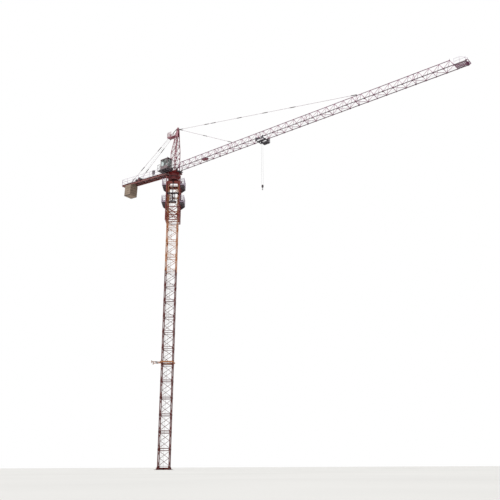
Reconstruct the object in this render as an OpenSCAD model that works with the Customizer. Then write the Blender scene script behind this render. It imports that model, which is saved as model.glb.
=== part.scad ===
// Hammerhead tower crane with a fixed base, a climbing frame and a trolley jib.
// A half-size model, in millimetres. The jib points along +X, and the mast stands on the origin.

/* [Base] */
// Height of the crossed base beams
base_beam_h = 140; // [100:5:180]
// Width of the crossed base beams
base_beam_w = 110; // [80:5:140]
// Thickness of the foot plates
foot_t = 20; // [14:1:30]
// Side of a square foot plate
foot_side = 260; // [240:10:300]
// Thickness of the seat plates under the mast legs
seat_t = 15; // [10:1:25]
// Radius of an anchor bolt hole
anchor_hole_r = 11; // [8:1:14]

/* [Mast] */
// Distance between the centres of neighbouring mast legs
mast_w = 830; // [800:10:850]
// Side of a square mast leg
leg = 70; // [60:1:76]
// Height of one mast section
section_h = 1250; // [1240:5:1260]
// Number of red mast sections, from the base up
red_sections = 12; // [11:1:13]
// Number of yellow mast sections above the red ones
yellow_sections = 6; // [5:1:7]
// Width of a bracing bar
brace = 28; // [20:1:34]
// Height of each of the two bars where sections meet
joint_bar = 34; // [28:1:40]
// Distance between those two bars
joint_gap = 160; // [140:5:180]
// Width of the splice plates beside the legs
splice_w = 26; // [20:1:32]
// Height of the bolt sleeve at each end of a section's leg
sleeve_h = 60; // [40:5:80]
// How far the bolt sleeve stands out from its leg
sleeve_t = 9; // [6:1:12]
// Angle of the mast's faces under the jib
mast_turn = 38; // [30:1:45]

/* [Ladder] */
// Distance between the centres of the ladder's rails
ladder_w = 200; // [180:10:240]
// Distance between rungs
rung_pitch = 150; // [125:5:160]
// Width of a ladder rail and height of a rung
ladder_bar = 14; // [10:1:18]
// Depth of the ladder's rails
ladder_depth = 20; // [14:1:26]

/* [Wall tie] */
// Height of the wall tie collar's underside above the ground
collar_z = 7800; // [7760:10:7850]
// Height of the collar's beams
collar_h = 100; // [80:5:120]
// Width of the collar's beams
collar_w = 70; // [60:5:90]
// Radius of the pin holes in the collar's lugs
tie_hole_r = 13; // [10:1:15]
// Thickness of the collar's lugs
tie_lug_t = 30; // [24:1:40]
// Distance from the mast's axis to the wall
wall_x = 1186; // [1160:2:1220]
// Side of a square wall plate
wall_side = 200; // [180:10:220]
// Thickness of a wall plate
wall_t = 16; // [12:1:20]
// Radius of a strut's tube
strut_r = 22; // [18:1:26]

/* [Climbing frame] */
// Distance between the centres of neighbouring climbing frame posts
frame_w = 1095; // [1080:5:1110]
// Side of a square climbing frame post
frame_post = 85; // [80:1:90]
// Height of the climbing frame
frame_h = 3480; // [3440:10:3520]
// How far the climbing frame stands above the mast
frame_over = 260; // [240:10:280]
// Thickness of the climbing frame's bracing
frame_bar = 50; // [40:1:56]
// Gap between a guide shoe and its mast leg
shoe_gap = 3; // [2:1:5]
// Height of the lower working platforms above the frame's foot
low_deck = 1558; // [1540:2:1570]
// Height of the upper working platforms above the frame's foot
high_deck = 3096; // [3080:2:3110]
// Height of the jack's crossbeam above the frame's foot
cross_up = 2335; // [2320:5:2350]
// Width of a working platform
deck_w = 340; // [320:5:360]
// Thickness of a platform's plate
deck_t = 10; // [6:1:14]
// Height of a platform's guard rail
guard_h = 620; // [580:10:640]
// Thickness of guard rail tubes
rail_t = 16; // [12:1:20]
// Radius of the jacking cylinder
jack_r = 60; // [54:1:66]
// Radius of the jack's piston rod
rod_r = 26; // [22:1:32]

/* [Slewing unit] */
// Height of the lower seat, from the mast's top to the slewing ring
lower_seat_h = 775; // [760:5:790]
// Height of the lower seat's legs, from the mast's top to its arms
seat_leg_h = 541; // [530:1:550]
// Outside radius of the seats' drums
drum_r = 430; // [420:5:440]
// Radius of the way up through the slewing unit
manhole_r = 330; // [300:5:335]
// Height of the fixed slewing ring
ring_h = 62; // [50:2:70]
// Gap between the turning and the fixed halves of the slewing bearing
bearing_gap = 7; // [5:1:9]
// Height of the upper seat, from the slewing ring's top to its deck
upper_seat_h = 401; // [390:1:410]
// Side of the upper seat's square deck
seat_deck = 950; // [930:10:970]

/* [Tower head] */
// Height of the tower head above the upper seat's deck
head_h = 4230; // [4200:10:4260]
// Height of the upright part of the tower head
knee_up = 1900; // [1880:10:1920]
// Where the rear legs stand
head_rear_x = -250; // [-260:5:-240]
// Where the front legs stand
head_front_x = 360; // [350:5:370]
// Distance between the centres of the left and right legs
head_w = 470; // [460:5:480]
// Where the rear legs end
top_rear_x = 185; // [180:1:190]
// Where the front legs end
top_front_x = 330; // [325:1:335]
// Distance between the left and right legs at their top
top_w = 90; // [86:1:96]
// Side of a tower head leg
head_leg = 46; // [40:1:52]
// Side of a tower head brace
head_brace = 24; // [18:1:30]
// Height of the plated part of the tower head
plated_h = 800; // [780:10:820]
// Thickness of the tower head's plates
plate_t = 10; // [8:1:12]
// Where the pendants' pin is
apex_pin_x = 405; // [400:1:412]
// How far the pendants' pin is below the tower head's top
apex_down = 195; // [190:1:200]
// Width of the perch behind the tower head
perch_w = 380; // [370:2:390]
// Length of the perch's basket
perch_l = 450; // [440:5:460]
// How far the perch's floor is below the tower head's top
perch_down = 700; // [690:5:710]
// Height of the perch's rails
perch_rail_h = 500; // [480:10:520]

/* [Jib] */
// Distance from the slewing axis to the jib's root pins
jib_root = 575; // [570:1:580]
// Length of one bay
bay = 704; // [702:1:706]
// Number of bays
bays = 35; // [34:1:36]
// Bays in one jib section
section_bays = 6; // [6:1:6]
// Bays from the jib's foot to the inner pendant
inner_bays = 8; // [8:1:8]
// Bays from the jib's foot to the outer pendant
outer_bays = 24; // [24:1:24]
// Distance between the bottom chords' centres
jib_w = 580; // [570:5:590]
// Height of the top chord's centre above the bottom chords' centres
jib_h = 613; // [605:1:620]
// Half of a bottom chord's height and width
chord = 20; // [18:1:22]
// Width of the trolley's running flange
flange_w = 26; // [24:1:28]
// Thickness of the trolley's running flange
flange_t = 10; // [9:1:12]
// Width of a jib brace
web = 20; // [20:1:24]
// Thickness of a jib brace
web_t = 16; // [14:1:16]
// Gap between the root pins and the first bay
root_gap = 65; // [60:1:70]
// Thickness of a root lug
lug_t = 20; // [16:1:24]
// Height of the root pins above the upper seat's deck
root_up = 200; // [195:1:205]
// Radius of the root pins
root_pin_r = 14; // [12:1:16]
// Length of the nose past the last bay
nose_l = 170; // [160:2:180]
// Height of the rails at the jib's tip
tip_rail_h = 420; // [400:10:440]
// Radius of the two sheaves under the jib's tip
tip_sheave_r = 50; // [44:1:56]

/* [Trolley winch] */
// Where the trolley winch starts
drive_x = 3210; // [3200:5:3220]
// Length of the trolley winch
drive_l = 520; // [500:5:540]
// Width of the trolley winch
drive_w = 360; // [340:5:380]
// Radius of the trolley winch's drum
drive_drum_r = 60; // [55:1:65]

/* [Pendants] */
// Radius of a pendant bar
pendant_r = 10; // [8:1:12]
// Thickness of a lug and of a bar's flat end
link_t = 22; // [20:1:24]
// Thickness of a link plate
link_plate = 8; // [7:1:9]
// Height of a link plate
link_h = 44; // [40:1:48]
// Length of a link between a lug and a bar
link_l = 420; // [400:10:440]
// Radius of the pendants' pins
link_pin_r = 12; // [11:1:13]
// Height of the pendants' pins above the top chord
lug_up = 50; // [46:1:54]

/* [Counter-jib] */
// Distance from the slewing axis to the counter-jib's end
tail_reach = 6225; // [6200:5:6250]
// Rise of the counter-jib towards its end
tail_rise = 3.5; // [3:0.1:4]
// Distance between the girders' centres
tail_w = 620; // [610:5:630]
// Depth of a girder
girder_h = 140; // [130:5:150]
// Width of a girder's flanges
girder_w = 64; // [60:2:68]
// Thickness of the girders' flanges and webs
girder_t = 9; // [8:1:11]
// Distance from the counter-jib's end to its ties
tie_from_end = 1275; // [1265:5:1285]
// Height of the counter-jib's guard rails
tail_rail_h = 520; // [500:10:540]
// Fields of the counter-jib's guard rails
tail_fields = 8; // [7:1:9]
// Number of concrete blocks
blocks = 5; // [4:1:5]
// Thickness of a concrete block
block_t = 150; // [140:2:156]
// Width of a concrete block
block_w = 820; // [810:5:830]
// Width of a block's neck between the girders
neck_w = 532; // [520:2:540]
// Height of a concrete block under the girders
block_h = 1000; // [980:10:1020]
// Distance from the counter-jib's end to the blocks' middle
block_from_end = 885; // [875:5:895]
// Radius of the bars that carry the blocks
block_bar_r = 18; // [16:1:20]
// Distance from the counter-jib's end to the hoist drum
drum_from_end = 1990; // [1980:5:2000]
// Radius of the hoist drum
hoist_r = 140; // [130:2:150]
// Length of the hoist drum
hoist_l = 330; // [320:5:340]

/* [Cab] */
// Length of the cab
cab_l = 800; // [780:10:820]
// Width of the cab
cab_w = 540; // [530:5:550]
// Height of the cab
cab_h = 900; // [880:10:920]
// Thickness of the cab's walls
cab_wall = 25; // [22:1:28]
// Where the cab's front is
cab_front = 175; // [165:1:180]
// Gap between the cab and the upper seat's deck
cab_gap = 50; // [45:1:55]
// Height of the cab's floor above the upper seat's deck
cab_up = 80; // [76:1:84]
// Height of the side windows' sills
sill = 300; // [280:5:320]
// Height of the wall above the windows
lintel = 70; // [60:2:80]
// Thickness of the window glass
glass_t = 6; // [4:1:8]

/* [Trolley and hook] */
// Distance from the slewing axis to the hook, with the trolley as it stands
trolley_x = 9290; // [9200:10:9380]
// Length of the trolley
trolley_l = 780; // [760:5:800]
// Radius of a trolley wheel
wheel_r = 35; // [32:1:38]
// Width of a trolley wheel
wheel_w = 16; // [14:1:18]
// Running gap under the wheels
wheel_gap = 0.5; // [0.3:0.1:1]
// How far the trolley's basket stands out from the slewing plane
basket_y = 690; // [680:5:700]
// Radius of the trolley's rope sheaves
sheave_r = 70; // [66:1:74]
// Radius of the hook block's sheave
hook_sheave_r = 75; // [71:1:79]
// Radius of the hoist rope
rope_r = 4; // [3:0.5:5]
// Depth of the hook block's sheave below the trolley's sheaves
drop = 3830; // [3780:10:3880]
// Radius of the hook's bowl, to the middle of its bar
bowl_r = 45; // [42:1:48]
// Radius of the hook's bar
hook_bar = 16; // [14:1:18]

/* [Hidden] */
$fn = 48;

red = [0.55, 0.08, 0.08];
crimson = [0.62, 0.12, 0.22];
yellow = [0.85, 0.5, 0.15];
steel = [0.25, 0.24, 0.25];
concrete = [0.6, 0.55, 0.48];
sides = [-1, 1];

// Heights, from the ground up
base_h = foot_t + base_beam_h + seat_t;
red_top = base_h + red_sections * section_h;
mast_top = red_top + yellow_sections * section_h;
arm_z = mast_top + seat_leg_h;
ring_z = mast_top + lower_seat_h;
ring_top = ring_z + ring_h;
deck_z = ring_top + bearing_gap + upper_seat_h;
jib_z = deck_z + root_up;
top_z = jib_z + jib_h;
head_z = deck_z + head_h;
frame_z = mast_top + frame_over - frame_h;
seat_half = seat_deck / 2;
ear_t = 14;

// Half widths of the mast
leg_out = mast_w / 2 + leg / 2;
leg_in = mast_w / 2 - leg / 2;
leg_radius = mast_w / sqrt(2);

module mast_frame() rotate([0, 0, mast_turn]) children();

// A flat bar from a to b in a plane
module bar(a, b, w) {
  side = [a[1] - b[1], b[0] - a[0]] * w / (2 * norm(b - a));
  polygon([a + side, a - side, b - side, b + side]);
}

// Turns upright children to point along d from a
module along(a, d) translate(a) rotate([0, acos(d[2] / norm(d)), atan2(d[1], d[0])]) children();

// A square bar from a to b in space, tipped over without a twist
module strut(a, b, w) {
  d = b - a;
  translate(a) rotate(a = acos(d[2] / norm(d)), v = [-d[1], d[0], 0]) translate([-w / 2, -w / 2, 0])
    cube([w, w, norm(d)]);
}

// A round bar from a to b in space
module rod(a, b, r) along(a, b - a) cylinder(r = r, h = norm(b - a));

// A plate t thick in the upright plane at y, drawn as a flat shape in x and z
module upright(y, t) translate([0, y + t / 2, 0]) rotate([90, 0, 0]) linear_extrude(t) children();

// One side of a guard rail, standing along +X from the origin: posts, level rails and a toe board
module fence(length, height, fields, levels, board = 0) {
  upright(rail_t / 2, rail_t) {
    for (i = [0:fields]) translate([i * (length - rail_t) / fields, 0]) square([rail_t, height]);
    for (z = levels) translate([0, z]) square([length, rail_t]);
  }
  if (board > 0) upright(rail_t / 2, rail_t / 2) square([length, board]);
}

// A bar of round stock through y, at a point in x and z
module cross_pin(at, r, l) translate([at[0], l / 2, at[1]]) rotate([90, 0, 0]) cylinder(r = r, h = l);

// Base
beam_reach = leg_radius + 80;
foot_centre = beam_reach + foot_side / 2 - 130;
anchor_r = foot_centre + foot_side / 2 - 50;
seat_side = leg + 2 * sleeve_t + 26;

module base_frame() color(red) mast_frame() difference() {
  union() {
    for (a = [45, 135]) rotate([0, 0, a]) translate([-beam_reach, -base_beam_w / 2, foot_t / 2])
      cube([2 * beam_reach, base_beam_w, base_beam_h + foot_t / 2]);
    for (a = [45:90:315]) rotate([0, 0, a]) {
      translate([foot_centre - foot_side / 2, -foot_side / 2, 0]) cube([foot_side, foot_side, foot_t]);
      upright(0, seat_t) polygon([
        [beam_reach - 5, foot_t - 5], [beam_reach + 30, foot_t - 5], [beam_reach - 5, foot_t + 90]]);
    }
    translate([-foot_side / 2, -foot_side / 2, 0]) cube([foot_side, foot_side, foot_t]);
    for (x = sides, y = sides)
      translate([x * mast_w / 2 - seat_side / 2, y * mast_w / 2 - seat_side / 2, base_h - 2 * seat_t])
        cube([seat_side, seat_side, 2 * seat_t]);
  }
  for (a = [45:90:315]) rotate([0, 0, a]) translate([anchor_r, 0, -1])
    cylinder(r = anchor_hole_r, h = foot_t + 2);
}

// Mast
module mast_legs(z, sections) mast_frame() for (a = [0:90:270]) rotate([0, 0, a])
  translate([leg_in, leg_in, z]) {
    cube([leg, leg, sections * section_h]);
    for (i = [0:sections - 1], end = [0, section_h - sleeve_h]) translate([0, 0, i * section_h + end])
      cube([leg + sleeve_t, leg + sleeve_t, sleeve_h]);
  }

module mast_face(sections) intersection() {
  translate([-leg_in, 0]) square([2 * leg_in, sections * section_h]);
  union() for (i = [0:sections - 1]) {
    low = i * section_h + joint_gap / 2;
    high = (i + 1) * section_h - joint_gap / 2;
    mid = (low + high) / 2;
    for (z = [low, high]) bar([-leg_out, z], [leg_out, z], joint_bar);
    bar([-leg_in, low], [leg_in, mid], brace);
    bar([leg_in, mid], [-leg_in, high], brace);
    for (s = sides, z = [low - joint_gap / 4, high + joint_gap / 4])
      translate([s * (leg_in - splice_w / 2), z]) square([splice_w, joint_gap / 2 + 10], center = true);
  }
}

brace_out = leg_out - 6;
module mast_bracing(z, sections) mast_frame() for (a = [0:90:270]) rotate([0, 0, a])
  translate([0, brace - brace_out, z]) rotate([90, 0, 0]) linear_extrude(brace) mast_face(sections);

module mast_legs_lower() color(red) mast_legs(base_h, red_sections);
module mast_bracing_lower() color(red) mast_bracing(base_h, red_sections);
module mast_legs_upper() color(yellow) mast_legs(red_top, yellow_sections);
module mast_bracing_upper() color(yellow) mast_bracing(red_top, yellow_sections);

// Ladder, held to the bars of one face
ladder_x = -110;
ladder_y = -300;
bracket_y = brace - brace_out;
module mast_ladder() color("gainsboro") mast_frame() {
  high = mast_top - base_h;
  translate([ladder_x, ladder_y + ladder_depth, base_h]) rotate([90, 0, 0]) linear_extrude(ladder_depth) {
    for (x = sides) translate([x * ladder_w / 2 - ladder_bar / 2, 0]) square([ladder_bar, high]);
    for (z = [rung_pitch / 2:rung_pitch:high - ladder_bar])
      translate([-ladder_w / 2, z - ladder_bar / 2]) square([ladder_w, ladder_bar]);
  }
  for (i = [1:red_sections + yellow_sections - 1], x = sides)
    translate([
      ladder_x + x * ladder_w / 2 - ladder_bar / 2, bracket_y,
      base_h + i * section_h + (joint_gap - ladder_bar) / 2])
      cube([ladder_bar, ladder_y - bracket_y + 5, ladder_bar]);
}

// Wall tie: a collar around the mast, and struts from its lugs to two wall plates
collar_out = leg_out + collar_w;
lug_y = [-300, 0, 300];
collar_pin_x = -collar_out - 45;
lug_low = collar_z + (collar_h - tie_lug_t) / 2;
module wall_tie_collar() color(yellow) mast_frame() difference() {
  union() {
    translate([0, 0, collar_z]) linear_extrude(collar_h) difference() {
      square(2 * collar_out, center = true);
      square(2 * leg_out, center = true);
    }
    for (y = lug_y) translate([-collar_out - 80, y - 40, lug_low]) cube([90, 80, tie_lug_t]);
  }
  for (y = lug_y) translate([collar_pin_x, y, collar_z]) cylinder(r = tie_hole_r, h = collar_h);
}

wall_y = 420;
wall_pin_x = 70 - wall_x;
strut_ends = [[lug_y[0], -wall_y - 35], [lug_y[1], 35 - wall_y], [lug_y[2], wall_y]];
fork_t = 8;
fork_r = 27;
tie_pin_l = tie_lug_t + 2 * fork_t + 16;
module fork_eye(at, towards) translate([at[0], at[1], lug_low]) {
  rotate([0, 0, atan2(towards[1] - at[1], towards[0] - at[0])]) for (z = [-fork_t, tie_lug_t])
    translate([0, 0, z]) linear_extrude(fork_t) {
      circle(r = fork_r);
      translate([0, -strut_r]) square([90, 2 * strut_r]);
    }
  translate([0, 0, (tie_lug_t - tie_pin_l) / 2]) cylinder(r = tie_hole_r - 1, h = tie_pin_l);
}
module wall_tie_struts() color(yellow) mast_frame() {
  for (ends = strut_ends) {
    a = [collar_pin_x, ends[0]];
    b = [wall_pin_x, ends[1]];
    u = (b - a) / norm(b - a);
    mid_z = lug_low + tie_lug_t / 2;
    fork_eye(a, b);
    fork_eye(b, a);
    rod([a[0] + 62 * u[0], a[1] + 62 * u[1], mid_z], [b[0] - 62 * u[0], b[1] - 62 * u[1], mid_z], strut_r);
    translate([-wall_x + 5, ends[1] - 30, lug_low - 1]) cube([95, 60, tie_lug_t + 2]);
  }
  for (y = [-wall_y, wall_y]) difference() {
    translate([-wall_x, y - wall_side / 2, collar_z + (collar_h - wall_side) / 2])
      cube([wall_t, wall_side, wall_side]);
    for (a = [45:90:315]) translate([-wall_x - 1, y + 100 * cos(a), collar_z + collar_h / 2 + 100 * sin(a)])
      rotate([0, 90, 0]) cylinder(r = anchor_hole_r, h = wall_t + 2);
  }
}

// Climbing frame
frame_in = frame_w / 2 - frame_post / 2;
frame_out = frame_w / 2 + frame_post / 2;
shoe_levels = [450, 1175, cross_up];
band_h = 250;

module climbing_posts() color(red) mast_frame() for (x = sides, y = sides)
  translate([x * frame_w / 2 - frame_post / 2, y * frame_w / 2 - frame_post / 2, frame_z])
    cube([frame_post, frame_post, frame_h]);

// One side of the climbing frame; the open ones let a new mast section in
module climbing_side(open) intersection() {
  translate([-frame_in, 0]) square([2 * frame_in, frame_h]);
  union() {
    for (z = concat([30, 240], shoe_levels, open ? [] : [low_deck - 30, high_deck - 30]))
      bar([-frame_out, z], [frame_out, z], 60);
    bar([-frame_out, frame_h - band_h / 2], [frame_out, frame_h - band_h / 2], band_h);
    for (s = sides) {
      bar([s * (frame_in - splice_w / 2), 0], [s * (frame_in - splice_w / 2), frame_h], splice_w);
      bar([s * frame_in, 450], [-s * frame_in, 1175], 40);
      bar([s * frame_in, cross_up - 170], [s * (frame_in - 140), cross_up], 36);
      bar([s * frame_in, frame_h - band_h - 140], [s * (frame_in - 140), frame_h - band_h], 36);
      if (!open) {
        bar([s * frame_in, low_deck], [0, cross_up], 40);
        bar([s * frame_in, high_deck - 60], [0, cross_up], 40);
      }
    }
  }
}

module climbing_bracing() color(red) mast_frame() for (a = [0:90:270]) rotate([0, 0, a])
  translate([0, frame_bar / 2 - frame_w / 2, frame_z]) {
    rotate([90, 0, 0]) linear_extrude(frame_bar) climbing_side(a == 0 || a == 180);
    for (z = shoe_levels, x = sides) translate([x * mast_w / 2 - 25, -10, z - 30])
      cube([50, 10 + frame_w / 2 - frame_bar / 2 - leg_out - shoe_gap, 60]);
  }

deck_out = frame_out + deck_w;
deck_levels = [frame_z + low_deck, frame_z + high_deck];

// Platforms on two sides of the climbing frame, on brackets from its posts
module on_balconies() mast_frame() for (z = deck_levels, side = [0, 1]) mirror([side, 0, 0])
  translate([frame_out, 0, z]) children();

module climbing_platforms() color("dimgray") on_balconies() {
  translate([0, -frame_out, 0]) cube([deck_w, 2 * frame_out, deck_t]);
  for (y = [-frame_w / 2, 0, frame_w / 2]) upright(y, 16)
    polygon([[0, 5], [deck_w - 20, 5], [deck_w - 20, -25], [30, y == 0 ? -60 : -250],
      [0, y == 0 ? -60 : -250]]);
}

module climbing_rails() color("thistle") on_balconies() translate([0, 0, deck_t]) {
  levels = [for (i = [1:4]) i * (guard_h - rail_t) / 4];
  translate([deck_w, -frame_out, 0]) rotate([0, 0, 90]) fence(2 * frame_out, guard_h, 4, levels, 70);
  for (y = [-frame_out, frame_out - rail_t]) translate([0, y, 0])
    fence(deck_w - rail_t - 1, guard_h, 1, levels, 70);
}

// Jack: a crossbeam on the near side of the climbing frame, two guides with the cylinder between them,
// and the beam that the rod pushes down on
jack_y = -frame_w / 2 - frame_bar / 2 - jack_r;
cross_z = frame_z + cross_up;
yoke_z = frame_z + low_deck - 60;
guide_x = 150;
module jacking_frame() color(steel) mast_frame() {
  translate([-frame_in, jack_y - jack_r, cross_z - 50]) cube([2 * frame_in, 2 * jack_r, 100]);
  for (x = sides) translate([x * guide_x - 20, jack_y - jack_r + 5, yoke_z + 100])
    cube([40, 2 * jack_r - 5, cross_z - yoke_z - 140]);
  for (z = [yoke_z + 180, (yoke_z + cross_z) / 2 + 40]) translate([-guide_x, jack_y + jack_r - 4, z])
    cube([2 * guide_x, 8, 60]);
  translate([0, jack_y, cross_z + 40]) cylinder(r = 35, h = frame_h - cross_up - 100);
  translate([-60, jack_y - 50, frame_z + frame_h - 110]) cube([120, jack_r + 50, 60]);
}
module jacking_cylinder() color(steel) mast_frame() translate([0, jack_y, 0]) {
  translate([0, 0, cross_z - 650]) cylinder(r = jack_r - 6, h = 600);
  translate([0, 0, yoke_z + 90]) cylinder(r = rod_r, h = cross_z - yoke_z - 700);
}
module jacking_beam() color(steel) mast_frame() {
  translate([-310, jack_y - jack_r, yoke_z]) cube([620, 2 * jack_r, 90]);
  translate([205, jack_y - jack_r, yoke_z - 40]) cube([90, 2 * jack_r, 170]);
}

// Lower seat
arm_reach = frame_w / sqrt(2) + 45;
arm_h = 180;
seat_leg = 84;
stub = 66;
module lower_seat() color(red) mast_frame() difference() {
  union() {
    for (x = sides, y = sides) {
      translate([x * mast_w / 2 - seat_leg / 2, y * mast_w / 2 - seat_leg / 2, mast_top])
        cube([seat_leg, seat_leg, arm_z + 20 - mast_top]);
      translate([x * frame_w / 2 - stub / 2, y * frame_w / 2 - stub / 2, frame_z + frame_h])
        cube([stub, stub, arm_z + 20 - frame_z - frame_h]);
    }
    for (a = [45, 135]) rotate([0, 0, a]) translate([-arm_reach, -55, arm_z])
      cube([2 * arm_reach, 110, arm_h]);
    for (a = [0:90:270]) rotate([0, 0, a]) upright(-mast_w / 2, 20) {
      bar([-mast_w / 2, arm_z + 40], [mast_w / 2, arm_z + 40], 80);
      for (s = sides) polygon([
        [s * (leg_in - 5), arm_z + 5], [s * (leg_in - 130), arm_z + 5], [s * (leg_in - 5), arm_z - 150]]);
    }
    translate([0, 0, arm_z]) cylinder(r = drum_r, h = ring_z - arm_z);
    translate([0, 0, ring_z - 30]) cylinder(r = drum_r + 20, h = 30);
  }
  translate([0, 0, arm_z - 1]) cylinder(r = manhole_r, h = ring_z - arm_z + 2);
}

// Slewing ring: the fixed toothed half
ring_in = drum_r - 35;
module slewing_ring() color(steel) translate([0, 0, ring_z]) difference() {
  cylinder(r = drum_r + 20, h = ring_h);
  translate([0, 0, -1]) cylinder(r = ring_in, h = ring_h + 2);
}

// Upper seat, with the bearing's turning half under it
seat_z = ring_top + bearing_gap;
seat_beam_h = 120;
hatch_half = 180;
floor_t = 20;
plate_half = seat_half - 85;
tail_root = jib_root;
tail_pin_z = deck_z + 50;
ear_x = head_front_x + 80;
root_sheave = [340, jib_z + 10];
rope_z = jib_z - 50;
module upper_seat() color(red) {
  difference() {
    union() {
      translate([0, 0, ring_z + bearing_gap])
        cylinder(r = ring_in - bearing_gap, h = seat_z - ring_z - bearing_gap);
      translate([0, 0, seat_z]) cylinder(r = drum_r + 20, h = 30);
      translate([0, 0, seat_z]) cylinder(r = drum_r, h = upper_seat_h - seat_beam_h + 5);
      translate([-seat_half, -seat_half, deck_z - seat_beam_h]) cube([seat_deck, seat_deck, seat_beam_h]);
      for (a = [0:90:270]) rotate([0, 0, a]) upright(0, 20)
        polygon([[drum_r - 20, seat_z + 20], [drum_r + 15, seat_z + 20], [seat_half - 5, deck_z - 100],
          [drum_r - 20, deck_z - 100]]);
    }
    translate([0, 0, ring_z]) cylinder(r = manhole_r, h = deck_z - ring_z + 1);
    translate([-plate_half, -seat_half - 1, deck_z - floor_t])
      cube([2 * plate_half, seat_deck + 2, floor_t + 1]);
  }
  // Ears for the jib's and the counter-jib's root pins
  for (end = [[jib_root, jib_z, jib_w], [-tail_root, tail_pin_z, tail_w]], side = sides, cheek = sides)
    upright(side * end[2] / 2 + cheek * (lug_t / 2 + 1 + ear_t / 2), ear_t) difference() {
      union() {
        bar([sign(end[0]) * ear_x, deck_z - 40], [end[0], end[1]], 90);
        translate([end[0], end[1]]) circle(r = 45);
      }
      translate([end[0], end[1]]) circle(r = root_pin_r);
    }
}

// Floor plates of the deck around their hatch, and the cheeks of the sheave that turns the hoist rope
// into the jib
module deck_floor() color(red) {
  for (end = sides) translate([end > 0 ? hatch_half + 1 : -plate_half + 1, -seat_half, deck_z - floor_t])
    cube([plate_half - hatch_half - 2, seat_deck, floor_t]);
  for (side = sides) translate([-hatch_half, side > 0 ? hatch_half : -seat_half, deck_z - floor_t])
    cube([2 * hatch_half, seat_half - hatch_half, floor_t]);
  for (side = sides) upright(side * 21, 10) polygon([
    [root_sheave[0] - 55, deck_z - 10], [plate_half - 2, deck_z - 10], [plate_half - 2, deck_z],
    [root_sheave[0] + 55, deck_z + 5],
    [root_sheave[0] + 25, root_sheave[1] + 25], [root_sheave[0] - 25, root_sheave[1] + 25]]);
}

module slewing_drive() color(steel) for (side = sides) translate([60, side * 360, deck_z]) {
  cylinder(r = 70, h = 60);
  cylinder(r = 50, h = 330);
}

// Platform under the jib's foot
front_w = 520;
module front_platform() color("dimgray") {
  translate([seat_half, -front_w / 2, deck_z - 60]) cube([800 - seat_half, front_w, 8]);
  for (y = sides) upright(y * (front_w / 2 - 30), 12)
    polygon([[seat_half, deck_z - 55], [780, deck_z - 55], [780, deck_z - 70], [seat_half, deck_z - 115]]);
}

// Tower head: upright to the knee, then drawn in to its plated top
knee_z = deck_z + knee_up;
knee_side = head_leg + 14;
top_leg_z = head_z - 100;
foot_at = [[head_rear_x, -head_w / 2], [head_front_x, -head_w / 2], [head_front_x, head_w / 2],
  [head_rear_x, head_w / 2]];
top_at = [[top_rear_x, -top_w / 2], [top_front_x, -top_w / 2], [top_front_x, top_w / 2],
  [top_rear_x, top_w / 2]];
function drawn_in(z) = max(0, (z - knee_z) / (top_leg_z - knee_z));
function head_at(i, z) = [
  foot_at[i % 4][0] + (top_at[i % 4][0] - foot_at[i % 4][0]) * drawn_in(z),
  foot_at[i % 4][1] + (top_at[i % 4][1] - foot_at[i % 4][1]) * drawn_in(z),
  z];
head_lean = atan2((head_w - top_w) / 2, top_leg_z - knee_z);
rear_lean = atan2(top_rear_x - head_rear_x, top_leg_z - knee_z);
front_lean = atan2(top_front_x - head_front_x, top_leg_z - knee_z);
collar_half = 22;
low_levels = [20, 40, 650, 1300, knee_up - collar_half - 13, knee_up - collar_half - 1];
high_levels = [knee_up + 26, knee_up + 40, 2450, 2950, 3410, 3422];
head_sheave = [225, head_z - 20];
head_sheave_r = 55;
root_sheave_r = 60;
apex_z = head_z - apex_down;
tie_top = [150, 105, head_z - 150];
// A plate between two legs, at the front (i = 1) or the rear (i = 0)
module plated_face(i, low, high) {
  face_lean = i == 0 ? rear_lean : front_lean;
  translate([foot_at[i][0], 0, knee_z]) rotate([0, face_lean, 0]) translate([-plate_t / 2, 0, 0])
    rotate([90, 0, 90]) linear_extrude(plate_t) polygon([
      for (p = [[-1, low], [1, low], [1, high], [-1, high]])
        [p[0] * head_at(2, p[1])[1], (p[1] - knee_z) / cos(face_lean)]]);
}

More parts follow.
